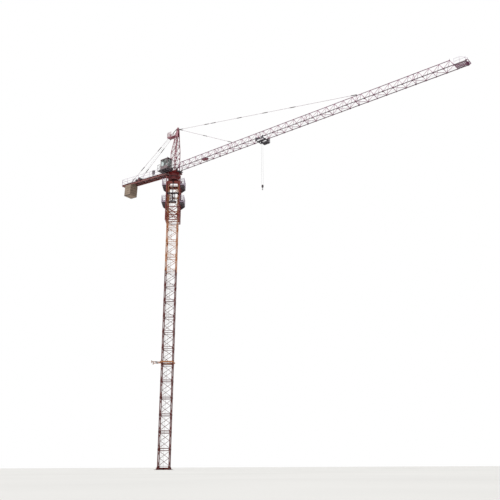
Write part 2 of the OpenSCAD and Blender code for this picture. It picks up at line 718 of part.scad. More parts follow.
module tower_head() color(crimson) {
  for (i = [0:3]) {
    translate([foot_at[i][0] - 40, foot_at[i][1] - 25, deck_z]) cube([80, 50, 16]);
    strut(head_at(i, deck_z + 10), head_at(i, knee_z), head_leg);
    strut(head_at(i, knee_z), head_at(i, top_leg_z), head_leg);
    translate(head_at(i, knee_z)) cube([knee_side, knee_side, 2 * collar_half], center = true);
  }
  // Side plates, front plate and rear plate of the top
  low_z = head_z - plated_h;
  for (side = sides) translate([0, side * head_w / 2, knee_z]) rotate([90 + side * head_lean, 0, 0])
    translate([0, 0, -plate_t / 2]) linear_extrude(plate_t) polygon([
      for (p = [head_at(0, low_z), head_at(1, low_z), head_at(1, top_leg_z), head_at(0, top_leg_z)])
        [p[0], (p[2] - knee_z) / cos(head_lean)]]);
  plated_face(1, low_z + 300, top_leg_z);
  plated_face(0, low_z, head_z - 350);
  // Cheeks of the head's rope sheave, and the beams that carry the pins
  for (side = sides) translate([top_rear_x - 10, side * top_w / 2 - 5, top_leg_z - 20])
    cube([top_front_x - top_rear_x + 20, 10, head_z + 30 - top_leg_z + 20]);
  translate([top_rear_x, -tie_top[1] - 25, tie_top[2] - 40]) cube([50, 2 * tie_top[1] + 50, 80]);
  translate([apex_pin_x, 0, apex_z]) rotate([0, 90, 0]) lug(apex_pin_x - top_front_x + 5);
  translate([top_front_x - 2, -40, apex_z - 40]) cube([14, 80, 80]);
  for (side = sides) translate([tie_top[0], side * tie_top[1], tie_top[2]])
    rotate([0, 0, side * (tie_turn - 180)]) rotate([0, -90, 0]) lug(50);
  // Arms that carry the perch, with a brace under each
  arm_y = head_at(2, perch_z)[1];
  for (side = sides) {
    translate([perch_arm, side * arm_y - 12, perch_z - 40])
      cube([head_at(0, perch_z)[0] - perch_arm, 24, 40]);
    strut([-300, side * arm_y, perch_z - 20], head_at(side < 0 ? 0 : 3, perch_z - 420), head_brace);
  }
}

// Bracing between two legs of the head, in the plane of that face. Each row is [left, right, height],
// the first and the last bound the face, and a zigzag runs between the level bars of the others.
module face_bars(rows) {
  last = len(rows) - 1;
  intersection() {
    polygon([
      [rows[0][0], rows[0][2]], [rows[0][1], rows[0][2]],
      [rows[last][1], rows[last][2]], [rows[last][0], rows[last][2]]]);
    union() for (i = [2:last - 1]) {
      bar([rows[i][0] - 60, rows[i][2]], [rows[i][1] + 60, rows[i][2]], head_brace);
      bar([rows[i - 1][i % 2], rows[i - 1][2]], [rows[i][1 - i % 2], rows[i][2]], head_brace);
    }
  }
}

module head_bracing() color(crimson) {
  leg_side = head_leg / 2 + 0.4;
  reach = head_w / 2 - leg_side;
  for (side = sides) {
    upright(side * head_w / 2, head_brace)
      face_bars([for (up = low_levels) [head_rear_x + leg_side, head_front_x - leg_side, deck_z + up]]);
    translate([0, side * head_w / 2, knee_z]) rotate([90 + side * head_lean, 0, 0])
      translate([0, 0, -head_brace / 2]) linear_extrude(head_brace) face_bars([
        for (up = high_levels) [
          head_at(0, deck_z + up)[0] + leg_side / cos(rear_lean),
          head_at(1, deck_z + up)[0] - leg_side,
          (up - knee_up) / cos(head_lean)]]);
  }
  for (end = [[head_rear_x, rear_lean], [head_front_x, front_lean]]) {
    translate([end[0] - head_brace / 2, 0, 0]) rotate([90, 0, 90]) linear_extrude(head_brace)
      face_bars([for (up = low_levels) [-reach, reach, deck_z + up]]);
    translate([end[0], 0, knee_z]) rotate([0, end[1], 0]) translate([-head_brace / 2, 0, 0])
      rotate([90, 0, 90]) linear_extrude(head_brace) face_bars([
        for (up = high_levels) let (y = head_at(2, deck_z + up)[1] - leg_side / cos(head_lean))
          [-y, y, (up - knee_up) / cos(end[1])]]);
  }
}

// Perch behind the head's top: a gangway and a basket, open where the ties and the rope pass
perch_z = head_z - perch_down;
perch_far = -400 - perch_l;
perch_near = 40;
perch_arm = -390;
module head_platform() color(crimson) {
  slot_x = -630;
  slot_y = tie_top[1] + (tie_top[0] - slot_x) * tan(180 - tie_turn);
  translate([0, 0, perch_z]) linear_extrude(8) difference() {
    translate([perch_far, -perch_w / 2]) square([perch_near - perch_far, perch_w]);
    for (side = sides) translate([slot_x, side * slot_y]) square([70, 48], center = true);
    translate([-800, -22]) square([110, 44]);
  }
  for (side = sides) translate([perch_far, side * (perch_w / 2 - 6) - 6, perch_z - 30])
    cube([perch_near - perch_far, 12, 34]);
}
module head_rails() color(crimson) {
  levels = [for (i = [1:4]) i * (perch_rail_h - rail_t) / 4];
  for (y = [-perch_w / 2, perch_w / 2 - rail_t]) translate([perch_far + rail_t + 1, y, perch_z + 8])
    fence(perch_l - rail_t - 1, perch_rail_h, 4, levels, 60);
  translate([perch_far + rail_t, -perch_w / 2, perch_z + 8]) rotate([0, 0, 90])
    fence(perch_w, perch_rail_h, 1, levels, 60);
}

module rope_sheaves() color(steel) {
  cross_pin(head_sheave, head_sheave_r - rope_r, 20);
  cross_pin(head_sheave, 12, top_w - 10);
  cross_pin(root_sheave, root_sheave_r - rope_r, 20);
  cross_pin(root_sheave, 12, 32);
}

// Jib
jib_start = jib_root + root_gap;
jib_end = jib_start + bays * bay;
web_len = norm([jib_w / 2, jib_h]);
lean = [-jib_w / 2, jib_h] / web_len;
foot_cut = chord * 0.8;
top_cut = web_t / 2 * jib_h / (jib_w / 2) + 1;
top_half = chord + 4;
top_bays = bays - 1.5;
posts = [inner_bays, for (k = [section_bays:section_bays:bays - 2]) k];
inner_x = jib_start + inner_bays * bay;
outer_x = jib_start + outer_bays * bay;
chord_pin_z = top_z + chord + lug_up;

// Section of the bottom chord at the +Y side, seen along the jib
function chord_line(y) = (foot_cut - lean[0] * y) / lean[1];
function chord_side(z) = (foot_cut - lean[1] * z) / lean[0];
module chord_section() polygon([
  [chord_side(chord), chord], [chord, chord], [chord, flange_t - chord], [chord + flange_w, flange_t - chord],
  [chord + flange_w, -chord], [-chord, -chord], [-chord, chord_line(-chord)]]);

module along_x(length) rotate([90, 0, 90]) linear_extrude(length) children();

module jib_bottom_chords() color(crimson) for (side = [0, 1]) mirror([0, side, 0])
  translate([jib_root, jib_w / 2, jib_z]) {
    translate([root_gap, 0, 0]) along_x(bays * bay) chord_section();
    upright(0, lug_t) difference() {
      union() {
        circle(r = 30);
        translate([0, -chord]) square([root_gap, 2 * chord]);
        translate([0, -chord]) square([root_gap + 100, chord + 10]);
      }
      circle(r = root_pin_r);
    }
  }

module jib_top_chord() color(crimson) {
  point = -top_cut / lean[1];
  shoulder = (-top_cut - lean[0] * top_half) / lean[1];
  translate([jib_start, 0, top_z]) along_x(top_bays * bay + 30)
    polygon([[-top_half, chord], [top_half, chord], [top_half, shoulder], [0, point], [-top_half, shoulder]]);
  for (x = [inner_x, outer_x]) translate([x, 0, chord_pin_z]) lug(lug_up + 10);
  upright_end = jib_start + top_bays * bay;
  translate([upright_end - 10, -10, top_z + chord - 5]) cube([20, 20, 105]);
}

module jib_web(side) color(crimson) translate([jib_start, side * jib_w / 2, jib_z])
  rotate([90 + side * atan2(jib_w / 2, jib_h), 0, 0]) translate([0, 0, -web_t / 2])
    linear_extrude(web_t) intersection() {
      translate([0, foot_cut + 0.05]) square([bays * bay, web_len - foot_cut - top_cut - 0.05]);
      union() {
        bar([web / 2, 0], [web / 2, web_len], web);
        for (i = [0:bays - 2]) {
          bar([i * bay, 0], [(i + 0.5) * bay, web_len], web);
          bar([(i + 0.5) * bay, web_len], [(i + 1) * bay, 0], web);
        }
        for (k = posts) bar([k * bay, 0], [k * bay, web_len], web);
      }
    }
module jib_web_near() jib_web(-1);
module jib_web_far() jib_web(1);

module jib_floor_bracing() color(crimson) translate([jib_start, 0, jib_z - web / 2]) linear_extrude(web)
  intersection() {
    inside = jib_w / 2 - chord;
    translate([0, -inside]) square([bays * bay, 2 * inside]);
    union() for (i = [0:bays]) {
      bar([i * bay, -jib_w], [i * bay, jib_w], web);
      if (i < bays) bar([i * bay, (i % 2 * 2 - 1) * inside], [(i + 1) * bay, (1 - i % 2 * 2) * inside], web);
    }
  }

// Tip: the end beam and the nose, with a slatted floor over the last bay
jib_side = jib_w / 2 + chord;
floor_x = jib_end - bay;
module jib_tip() color(crimson) {
  translate([jib_end, -jib_side, jib_z - chord]) cube([50, 2 * jib_side, 90]);
  for (side = sides) upright(side * (jib_side - 10), 12) polygon([
    [jib_end + 45, jib_z - chord], [jib_end + nose_l, jib_z + 20], [jib_end + nose_l, jib_z + 60],
    [jib_end + 45, jib_z + 70]]);
  translate([jib_end + nose_l - 30, -jib_side + 10, jib_z + 20]) cube([30, 2 * jib_side - 20, 40]);
  for (side = sides) upright(side * 21, 10) polygon([
    [jib_end - 60, jib_z - web / 2 - 2], [jib_end + 2, jib_z - web / 2 - 2], [jib_end + 2, jib_z + 25],
    [jib_end + nose_l - 20, jib_z + 30], [jib_end + nose_l - 20, jib_z - 150], [jib_end - 60, jib_z - 150]]);
  for (y = [-jib_w / 2 + 30:65:jib_w / 2 - 29]) translate([floor_x, y - 8, jib_z + web / 2])
    cube([bay + 5, 16, 12]);
  for (i = [0:6]) translate([floor_x + i * (bay - 20) / 6, -jib_w / 2 + 22, jib_z + web / 2 + 4])
    cube([20, jib_w - 44, 12]);
}

module tip_rails() color("thistle") for (side = sides) {
  rail_y = side * (jib_side - 8);
  bend = [floor_x + bay * 0.55, rail_y, jib_z + tip_rail_h];
  rod([floor_x - 10, rail_y, jib_z + tip_rail_h], bend, rail_t / 2);
  rod(bend, [jib_end + nose_l - 20, rail_y, jib_z + 150], rail_t / 2);
  translate(bend) sphere(r = rail_t / 2 + 1);
  post_x = jib_end + nose_l - 20;
  rod([post_x, rail_y, jib_z + 62.5], [post_x, rail_y, jib_z + 152], rail_t / 2);
  rod([floor_x, rail_y, jib_z + 220], [jib_end + 45, rail_y, jib_z + 220], rail_t / 2);
  for (x = [floor_x, floor_x + bay / 2])
    rod([x, rail_y, jib_z + chord], [x, rail_y, jib_z + tip_rail_h], rail_t / 2);
  rod([jib_end + 20, rail_y, jib_z + 70], [jib_end + 20, rail_y, jib_z + 300], rail_t / 2);
}

module tip_sheaves() color(steel) for (x = [jib_end - 16, jib_end + 104]) {
  cross_pin([x, rope_z - tip_sheave_r], tip_sheave_r - rope_r, 20);
  cross_pin([x, rope_z - tip_sheave_r], 12, 32);
}

module root_pins() color(steel) {
  for (side = sides) {
    translate([0, side * jib_w / 2, 0]) cross_pin([jib_root, jib_z], root_pin_r, 80);
    translate([0, side * tail_w / 2, 0]) cross_pin([-tail_root, tail_pin_z], root_pin_r, 80);
  }
}

// A lug in an upright plane, with its pin hole at the origin and its foot below
module lug(drop, turn = 0) rotate([0, 0, turn]) upright(0, link_t) difference() {
  union() {
    circle(r = link_h / 2);
    translate([-link_h / 2, -drop]) square([link_h, drop]);
  }
  circle(r = link_pin_r);
}

// Pendants and ties: round bars with an eye at each end, joined to each other and to their lugs by
// pairs of link plates. A stay is [from, to, where its bars are joined, half the width of its first link].
apex_pin = [apex_pin_x, 0, apex_z];
lug_half = link_t / 2 + 0.5;
wide_half = lug_half + link_plate + 1;
outer_stay = [apex_pin, [outer_x, 0, chord_pin_z], [0.185, 0.228, 0.388, 0.537, 0.687], lug_half];
inner_stay = [apex_pin, [inner_x, 0, chord_pin_z], [0.512], wide_half];
tie_up = 100;
girder_top = girder_h / 2;
tail_len = (tail_reach - tail_root) / cos(tail_rise);
function tail_at(d, y, h) = [
  h * sin(tail_rise) - tail_root - d * cos(tail_rise),
  y,
  tail_pin_z + d * sin(tail_rise) + h * cos(tail_rise)];
tie_d = tail_len - tie_from_end;
tie_turn = atan2(tail_w / 2 - tie_top[1], tail_at(tie_d, 0, 0)[0] - tie_top[0]);
function tie_stay(side) = [
  [tie_top[0], side * tie_top[1], tie_top[2]], tail_at(tie_d, side * tail_w / 2, girder_top + tie_up),
  [0.37, 0.75], lug_half];
function bar_ends(stay) = concat(
  [link_l],
  [for (f = stay[2], s = sides) f * norm(stay[1] - stay[0]) + s * link_l / 2],
  [norm(stay[1] - stay[0]) - link_l]);

module stay_bars(stay) along(stay[0], stay[1] - stay[0]) {
  ends = bar_ends(stay);
  for (i = [0:2:len(ends) - 2]) {
    translate([0, 0, ends[i] + 30]) cylinder(r = pendant_r, h = ends[i + 1] - ends[i] - 60);
    for (end = [[ends[i], 1], [ends[i + 1], -1]]) translate([0, 0, end[0]]) upright(0, link_t) difference() {
      union() {
        circle(r = link_h / 2);
        bar([0, 0], [0, 60 * end[1]], link_h);
      }
      circle(r = link_pin_r);
    }
  }
}

// Two plates from pin to pin, half a width apart from the middle
module link(half) {
  for (side = sides) upright(side * (half + link_plate / 2), link_plate) {
    for (z = [0, link_l]) translate([0, z]) circle(r = link_h / 2);
    translate([-link_h / 2, 0]) square([link_h, link_l]);
  }
  for (z = [0, link_l]) cross_pin([0, z], link_pin_r - 0.5, 2 * (half + link_plate + 8));
  if (half > lug_half) {
    for (side = sides) translate([0, side * (half + lug_half) / 2, 0])
      cross_pin([0, link_l], 18, half - lug_half + 0.1);
  }
}
module stay_links(stay) {
  length = norm(stay[1] - stay[0]);
  along(stay[0], stay[1] - stay[0]) {
    link(stay[3]);
    for (z = [for (f = stay[2]) f * length - link_l / 2, length - link_l])
      translate([0, 0, z]) link(lug_half);
  }
}

module inner_pendant() color(crimson) stay_bars(inner_stay);
module outer_pendant() color(crimson) stay_bars(outer_stay);
module counter_jib_ties() color(crimson) for (side = sides) stay_bars(tie_stay(side));
module pendant_links() color(steel) for (stay = [inner_stay, outer_stay, tie_stay(-1), tie_stay(1)])
  stay_links(stay);

// Trolley winch, on the jib's floor
drive_floor = jib_z + web / 2;
drive_drum = [drive_x + 130, drive_floor + 92];
module trolley_winch() color(red) {
  translate([drive_x, -drive_w / 2, drive_floor]) cube([drive_l, drive_w, 14]);
  cross_pin(drive_drum, drive_drum_r, 200);
  for (y = [-110, 110]) {
    upright(y, 12) polygon([
      [drive_x + 50, drive_floor + 10], [drive_x + 210, drive_floor + 10],
      [drive_drum[0] + 30, drive_drum[1] + 45], [drive_drum[0] - 30, drive_drum[1] + 45]]);
    translate([0, y * 0.85, 0]) cross_pin(drive_drum, drive_drum_r + 14, 12);
  }
  cross_pin(drive_drum, 14, 240);
  translate([drive_x + 240, 10, drive_floor + 10]) cube([110, 130, 150]);
  translate([drive_x + 340, 75, drive_floor + 85]) rotate([0, 90, 0]) cylinder(r = 48, h = 160);
  translate([drive_x + 250, -130, drive_floor + 10]) cube([180, 110, 120]);
}

// Hoist rope: off the drum's top, over the head sheave, down the tower head and out along the jib
drum_d = tail_len - drum_from_end;
drum_up = girder_top + 251;
drum_at = tail_at(drum_d, 0, drum_up);
rope_from = [drum_at[0], drum_at[2]];
rope_run = head_sheave - rope_from;
rope_sin = (hoist_r + rope_r - head_sheave_r) / norm(rope_run);
rope_dir = rope_run / norm(rope_run);
rope_off = sqrt(1 - rope_sin * rope_sin) * [-rope_dir[1], rope_dir[0]] + rope_sin * rope_dir;
module rope_arc(at, r, from, turn) translate([at[0], 0, at[1]]) rotate([90, 0, 0]) rotate([0, 0, from])
  rotate_extrude(angle = turn) translate([r, 0]) circle(r = rope_r, $fn = 16);

// A straight stretch between two points in x and z, its ends inside the arcs
module rope_bar(a, b) {
  u = 3 * (b - a) / norm(b - a);
  rod([a[0] - u[0], 0, a[1] - u[1]], [b[0] + u[0], 0, b[1] + u[1]], rope_r - 0.2);
}
module hoist_rope() color(steel) {
  a = rope_from + (hoist_r + rope_r) * rope_off;
  b = head_sheave + head_sheave_r * rope_off;
  fall_x = head_sheave[0] + head_sheave_r;
  rope_bar(a, b);
  rope_arc(head_sheave, head_sheave_r, 0, atan2(rope_off[1], rope_off[0]));
  rope_bar([fall_x, root_sheave[1]], [fall_x, head_sheave[1]]);
  rope_arc(root_sheave, root_sheave_r, 180, 90);
  rope_bar([root_sheave[0], rope_z], [jib_end + 100, rope_z]);
}

// Counter-jib, built level and turned up about its root pins
module tail_frame() translate([-tail_root, 0, tail_pin_z]) rotate([0, tail_rise, 0]) children();

module girder_section() {
  translate([-girder_w / 2, -girder_top]) square([girder_w, girder_t]);
  translate([-girder_w / 2, girder_top - girder_t]) square([girder_w, girder_t]);
  translate([-girder_t / 2, -girder_top]) square([girder_t, girder_h]);
}

girder_start = 50;
block_d = tail_len - block_from_end;
block_start = block_d - blocks * block_t / 2;
block_stop = block_d + blocks * block_t / 2;
cross_count = 6;
cross_step = (block_start - girder_start) / cross_count;
cross_at = [
  for (i = [0:cross_count - 1]) girder_start + (i + 0.5) * cross_step, block_stop + 60, tail_len - 30];
module counter_jib_girders() color(red) {
  tail_frame() {
    for (side = sides) {
      translate([-tail_len, side * tail_w / 2, 0]) along_x(tail_len - girder_start) girder_section();
      upright(side * tail_w / 2, lug_t) difference() {
        union() {
          circle(r = 30);
          translate([-200, -30]) square([200, 60]);
        }
        circle(r = root_pin_r);
      }
    }
    for (d = cross_at) translate([-d - 25, 1 - tail_w / 2, -45]) cube([50, tail_w - 2, 90]);
    translate([0, 0, -4]) linear_extrude(8) for (i = [0:cross_count - 2], s = sides)
      bar([-cross_at[i], s * tail_w / 2], [-cross_at[i + 1], -s * tail_w / 2], 36);
  }
  for (side = sides) translate(tail_at(tie_d, side * tail_w / 2, girder_top + tie_up))
    lug(tie_up + 5, side * tie_turn);
}

deck_half = tail_w / 2 + 60;
tail_deck_t = 6;
module counter_jib_deck() color("dimgray") tail_frame() translate([0, 0, girder_top])
  linear_extrude(tail_deck_t) difference() {
    translate([-tail_len, -deck_half]) square([tail_len - girder_start, 2 * deck_half]);
    translate([-block_stop - 10, -deck_half + 25]) square([blocks * block_t + 20, 2 * deck_half - 50]);
    for (side = sides) translate([-tie_d - 50, side * tail_w / 2 - 30]) square([110, 60]);
  }

module counter_jib_rails() color("thistle") tail_frame() translate([0, 0, girder_top + tail_deck_t]) {
  levels = [tail_rail_h / 2, tail_rail_h - rail_t];
  for (side = sides) translate([-tail_len, side * (deck_half - rail_t / 2) - rail_t / 2, 0])
    fence(tail_len - girder_start, tail_rail_h, tail_fields, levels);
  translate([rail_t - tail_len, rail_t + 1 - deck_half, 0]) rotate([0, 0, 90])
    fence(2 * (deck_half - rail_t - 1), tail_rail_h, 1, levels);
}

block_gap = 4;
neck_top = girder_top + 66;
module counterweights() color(concrete) tail_frame() for (i = [0:blocks - 1])
  translate([i * block_t - block_stop + block_gap / 2, 0, 0]) difference() {
    along_x(block_t - block_gap) {
      translate([-block_w / 2, -girder_top - 12 - block_h]) square([block_w, block_h]);
      translate([-neck_w / 2, -girder_top - 20]) square([neck_w, neck_top + girder_top + 20]);
    }
    translate([(block_t - block_gap) / 2, 0, 0])
      cross_pin([0, girder_top + block_bar_r], block_bar_r + 1, neck_w + 2);
  }

module counterweight_bars() color(steel) tail_frame() for (i = [0:blocks - 1])
  cross_pin([(i + 0.5) * block_t - block_stop, girder_top + block_bar_r], block_bar_r, 2 * deck_half - 60);

// Hoist winch: skids, cheeks, gearbox and motor on the counter-jib's deck
winch_floor = girder_top + tail_deck_t;
module hoist_winch() color(red) tail_frame() translate([-drum_d, 0, 0]) {
  for (y = [-200, 140]) translate([-580, y, winch_floor]) cube([800, 60, 60]);
  for (x = [-580, -180, 160]) translate([x, -150, winch_floor + 5]) cube([60, 300, 40]);
  for (y = [-190, 190]) upright(y, 20) polygon([
    [-150, winch_floor + 55], [150, winch_floor + 55], [50, drum_up + 50], [-50, drum_up + 50]]);
  translate([-520, 195, winch_floor + 50]) cube([620, 65, 240]);
  translate([0, 60, 0]) cross_pin([-400, drum_up - 30], 105, 290);
  translate([-480, -100, winch_floor + 55]) cube([160, 300, 60]);
}
module winch_drum() color(steel) tail_frame() {
  cross_pin([-drum_d, drum_up], hoist_r, hoist_l);
  cross_pin([-drum_d, drum_up], 30, 360);
  for (side = sides) translate([0, side * (hoist_l / 2 - 8), 0])
    cross_pin([-drum_d, drum_up], hoist_r + 35, 16);
}

module electric_box() color("dimgray") tail_frame() translate([-1750, -270, 0]) {
  translate([-100, -70, girder_top + 246]) cube([200, 140, 320]);
  for (x = [-80, 50]) translate([x, -15, winch_floor]) cube([30, 30, 260]);
}

// Cab, on a platform beside the upper seat
cab_y = -seat_half - cab_gap - cab_w;
cab_z = deck_z + cab_up;
cab_rear = cab_front - cab_l;
window_h = cab_h - sill - lintel;
module cab_frame() translate([cab_rear, cab_y, cab_z]) children();
module cab_openings(depth) {
  for (x = [80, cab_l / 2 + 15]) translate([x, -1, sill]) cube([cab_l / 2 - 95, depth, window_h]);
  translate([80, cab_w + 1 - depth, sill]) cube([cab_l / 2 - 95, depth, window_h]);
  translate([-1, 60, sill]) cube([depth, cab_w - 120, window_h]);
  translate([cab_l + 1 - depth, 60, 130]) cube([depth, cab_w - 120, cab_h - 130 - lintel]);
}
module cab_shell() color("dimgray") cab_frame() {
  difference() {
    cube([cab_l, cab_w, cab_h]);
    translate([cab_wall, cab_wall, cab_wall])
      cube([cab_l - 2 * cab_wall, cab_w - 2 * cab_wall, cab_h - 2 * cab_wall]);
    cab_openings(cab_wall + 2);
  }
  translate([-20, -25, cab_h - 2]) cube([cab_l + 120, cab_w + 50, 16]);
  translate([cab_l - 30, 20, cab_h]) cylinder(r = 12, h = 120);
}
module cab_windows() color([0.5, 0.6, 0.65, 0.4]) intersection() {
  cab_frame() difference() {
    translate([9, 9, 9]) cube([cab_l - 18, cab_w - 18, cab_h - 18]);
    translate([9 + glass_t, 9 + glass_t, 8])
      cube([cab_l - 18 - 2 * glass_t, cab_w - 18 - 2 * glass_t, cab_h]);
  }
  cab_frame() cab_openings(cab_wall + 2);
}
module cab_seat() color(steel) cab_frame() {
  translate([300, cab_w / 2 - 60, cab_wall]) cube([120, 120, 200]);
  translate([240, cab_w / 2 - 110, 215]) cube([240, 220, 60]);
  translate([220, cab_w / 2 - 110, 240]) cube([50, 220, 420]);
  for (y = [-170, 115]) translate([280, cab_w / 2 + y, cab_wall]) cube([200, 55, 380]);
  translate([300, cab_w / 2 - 130, 100]) cube([100, 260, 60]);
}
module cab_platform() color("dimgray") {
  translate([-950, cab_y - 35, cab_z - 40]) cube([950 + cab_front, -seat_half - 5 - cab_y + 35, 40]);
  translate([-950, -seat_half - 10, cab_z - 40]) cube([800, 95, 40]);
  for (x = [-450, -200, 80]) translate([x, cab_y, cab_z - 160]) cube([60, -seat_half - cab_y, 125]);
  for (h = [260, 520]) {
    translate([-950, cab_y - 35, cab_z + h - rail_t]) cube([300, rail_t, rail_t]);
    translate([-950, cab_y - 35, cab_z + h - rail_t]) cube([rail_t, -385 - cab_y + 30, rail_t]);
  }
  for (at = [[-950, cab_y - 35], [-666, cab_y - 35], [-950, -406], [-950, (cab_y - 440) / 2]])
    translate([at[0], at[1], cab_z - 5]) cube([rail_t, rail_t, 525]);
}

// Trolley
side_y = jib_side + flange_w + 12;
wheel_y = jib_side + 5 + wheel_w / 2;
wheel_z = jib_z - chord + flange_t + wheel_gap + wheel_r;
trolley_sheave_z = rope_z - sheave_r;
sheave_x = hook_sheave_r + sheave_r;
frame_low = rope_z - 160;
basket_rail = 340;
basket_half = 270;
basket_in = side_y + 5;
axle_x = trolley_l / 2 - 70;
module trolley_frame() color(steel) translate([trolley_x, 0, 0]) {
  for (side = sides) {
    upright(side * (side_y + 5), 10) {
      translate([-trolley_l / 2, frame_low]) square([trolley_l, 100]);
      for (x = sides) polygon([
        [x * trolley_l / 2, frame_low + 90], [x * (trolley_l / 2 - 20), wheel_z + 30],
        [x * (trolley_l / 2 - 120), wheel_z + 30], [x * (trolley_l / 2 - 200), frame_low + 90]]);
    }
    for (x = sides) translate([0, side * (wheel_y + 12), 0])
      cross_pin([x * axle_x, wheel_z], 9.8, 28);
  }
  for (x = sides) translate([x * (trolley_l / 2 - 40) - 25, -side_y - 1, frame_low])
    cube([50, 2 * side_y + 2, 60]);
  for (y = sides) translate([40 - trolley_l / 2, y * 20 - 5, frame_low]) cube([trolley_l - 80, 10, 120]);
  // Basket on the far side
  translate([-basket_half, basket_in, frame_low + 10]) cube([2 * basket_half, basket_y - basket_in, 12]);
  for (h = [basket_rail / 2, basket_rail - rail_t]) translate([0, 0, frame_low + 10 + h])
    linear_extrude(rail_t) difference() {
      translate([-basket_half, basket_in]) square([2 * basket_half, basket_y - basket_in]);
      translate([rail_t - basket_half, basket_in - 5])
        square([2 * (basket_half - rail_t), basket_y - rail_t - basket_in + 5]);
    }
  for (at = [[-basket_half, basket_in], [basket_half - rail_t, basket_in], [-basket_half, basket_y - rail_t],
      [-rail_t / 2, basket_y - rail_t], [basket_half - rail_t, basket_y - rail_t]])
    translate([at[0], at[1], frame_low + 15]) cube([rail_t, rail_t, basket_rail - 5]);
}
module trolley_wheels() color(steel) translate([trolley_x, 0, 0]) {
  for (side = sides, x = sides) translate([0, side * wheel_y, 0]) difference() {
    cross_pin([x * axle_x, wheel_z], wheel_r, wheel_w);
    cross_pin([x * axle_x, wheel_z], 10, wheel_w + 2);
  }
  for (x = sides) {
    cross_pin([x * sheave_x, trolley_sheave_z], sheave_r - rope_r, 20);
    cross_pin([x * sheave_x, trolley_sheave_z], 12, 30);
  }
}
module rope_falls() color(steel) translate([trolley_x, 0, 0]) for (x = sides)
  translate([x * hook_sheave_r, 0, trolley_sheave_z - drop]) cylinder(r = rope_r, h = drop, $fn = 16);

// Hook block
hook_z = trolley_sheave_z - drop;
cheek_in = 26;
hole_r = 15.5;
module hook_block() color(steel) translate([trolley_x, 0, hook_z]) {
  for (side = sides) upright(side * (cheek_in + 7), 14)
    polygon([[-30, 60], [30, 60], [75, 0], [60, -110], [45, -165], [-45, -165], [-60, -110], [-75, 0]]);
  difference() {
    translate([-40, -cheek_in - 5, -165]) cube([80, 2 * cheek_in + 10, 40]);
    translate([0, 0, -170]) cylinder(r = hole_r, h = 50);
  }
  cross_pin([0, 0], 11.5, 2 * cheek_in + 36);
}
module hook_sheave() color(steel) translate([trolley_x, 0, hook_z]) difference() {
  union() {
    cross_pin([0, 0], hook_sheave_r - rope_r, 22);
    cross_pin([0, 0], 24, 2 * cheek_in - 2);
  }
  cross_pin([0, 0], 12, 2 * cheek_in + 2);
}
hook_eye = 300;
module hook() color(steel) translate([trolley_x, 0, hook_z]) {
  translate([0, 0, bowl_r - hook_eye - 5]) cylinder(r = hole_r - 1.5, h = hook_eye - bowl_r - 105);
  translate([0, 0, -122]) cylinder(r = 22, h = 20);
  translate([0, 0, -200]) cylinder(r = 20, h = 28);
  translate([0, 0, -hook_eye]) rotate([90, 0, 0]) rotate([0, 0, 90])
    rotate_extrude(angle = 270) translate([bowl_r, 0]) circle(r = hook_bar);
}

base_frame();
mast_legs_lower();
mast_bracing_lower();
mast_legs_upper();
mast_bracing_upper();
mast_ladder();
wall_tie_collar();
wall_tie_struts();
climbing_posts();
climbing_bracing();
climbing_platforms();
climbing_rails();
jacking_frame();
jacking_cylinder();
jacking_beam();
lower_seat();
slewing_ring();
upper_seat();
deck_floor();
slewing_drive();
front_platform();
tower_head();
head_bracing();
head_platform();
head_rails();
rope_sheaves();
jib_top_chord();
jib_bottom_chords();
jib_web_near();
jib_web_far();
jib_floor_bracing();
jib_tip();
tip_rails();
tip_sheaves();
root_pins();
inner_pendant();
outer_pendant();
pendant_links();
trolley_winch();
hoist_rope();
counter_jib_girders();
counter_jib_deck();
counter_jib_rails();
counter_jib_ties();
counterweights();
counterweight_bars();
hoist_winch();
winch_drum();
electric_box();
cab_shell();
cab_windows();
cab_seat();
cab_platform();
trolley_frame();
trolley_wheels();
rope_falls();
hook_block();
hook_sheave();
hook();
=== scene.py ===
# Hammerhead tower crane with a climbing frame, half size, dressed around its CAD model.
# The jib points along +X and the mast stands on the origin; every length is in metres.
import math

import bpy
from mathutils import Matrix, Vector


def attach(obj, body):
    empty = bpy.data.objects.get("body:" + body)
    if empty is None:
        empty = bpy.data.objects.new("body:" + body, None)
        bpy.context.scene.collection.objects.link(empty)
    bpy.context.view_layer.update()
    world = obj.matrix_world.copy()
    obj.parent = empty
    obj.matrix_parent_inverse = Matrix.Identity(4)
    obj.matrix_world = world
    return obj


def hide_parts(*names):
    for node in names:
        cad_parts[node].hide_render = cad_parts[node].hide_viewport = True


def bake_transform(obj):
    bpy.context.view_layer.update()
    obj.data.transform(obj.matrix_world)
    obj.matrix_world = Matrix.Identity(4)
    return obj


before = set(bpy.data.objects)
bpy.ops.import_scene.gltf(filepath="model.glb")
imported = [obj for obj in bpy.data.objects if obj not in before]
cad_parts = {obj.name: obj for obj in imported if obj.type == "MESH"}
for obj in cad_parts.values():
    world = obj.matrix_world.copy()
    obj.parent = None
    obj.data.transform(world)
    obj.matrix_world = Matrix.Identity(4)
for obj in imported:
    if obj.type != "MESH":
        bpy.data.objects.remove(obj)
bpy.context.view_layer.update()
bpy.ops.object.select_all(action="DESELECT")

# The camera stands on the ground far in front of the jib's right side and looks up at the crane,
# as the photograph does.
eye_pitch = math.radians(18.57)
eye = bpy.data.objects.new("eye", bpy.data.cameras.new("eye"))
bpy.context.scene.collection.objects.link(eye)
eye.location = (35.521, -35.744, 0.189)
eye.rotation_euler = (math.pi / 2 + eye_pitch, 0.0045, 0.6563)
eye.data.lens = 46.45
eye.data.sensor_width = 36.0
eye.data.clip_end = 500.0
bpy.context.scene.camera = eye

# Base: two crossed beams welded from rolled steel, on four foot plates and a middle one.
# Alkyd enamel, sprayed over mill scale and out in the weather for years: it gives a satin dark
# red that has chalked in clouds, with rain streaks down the steel and rust where the film broke.
base_turn = math.radians(38.0)
foot_top = 0.020


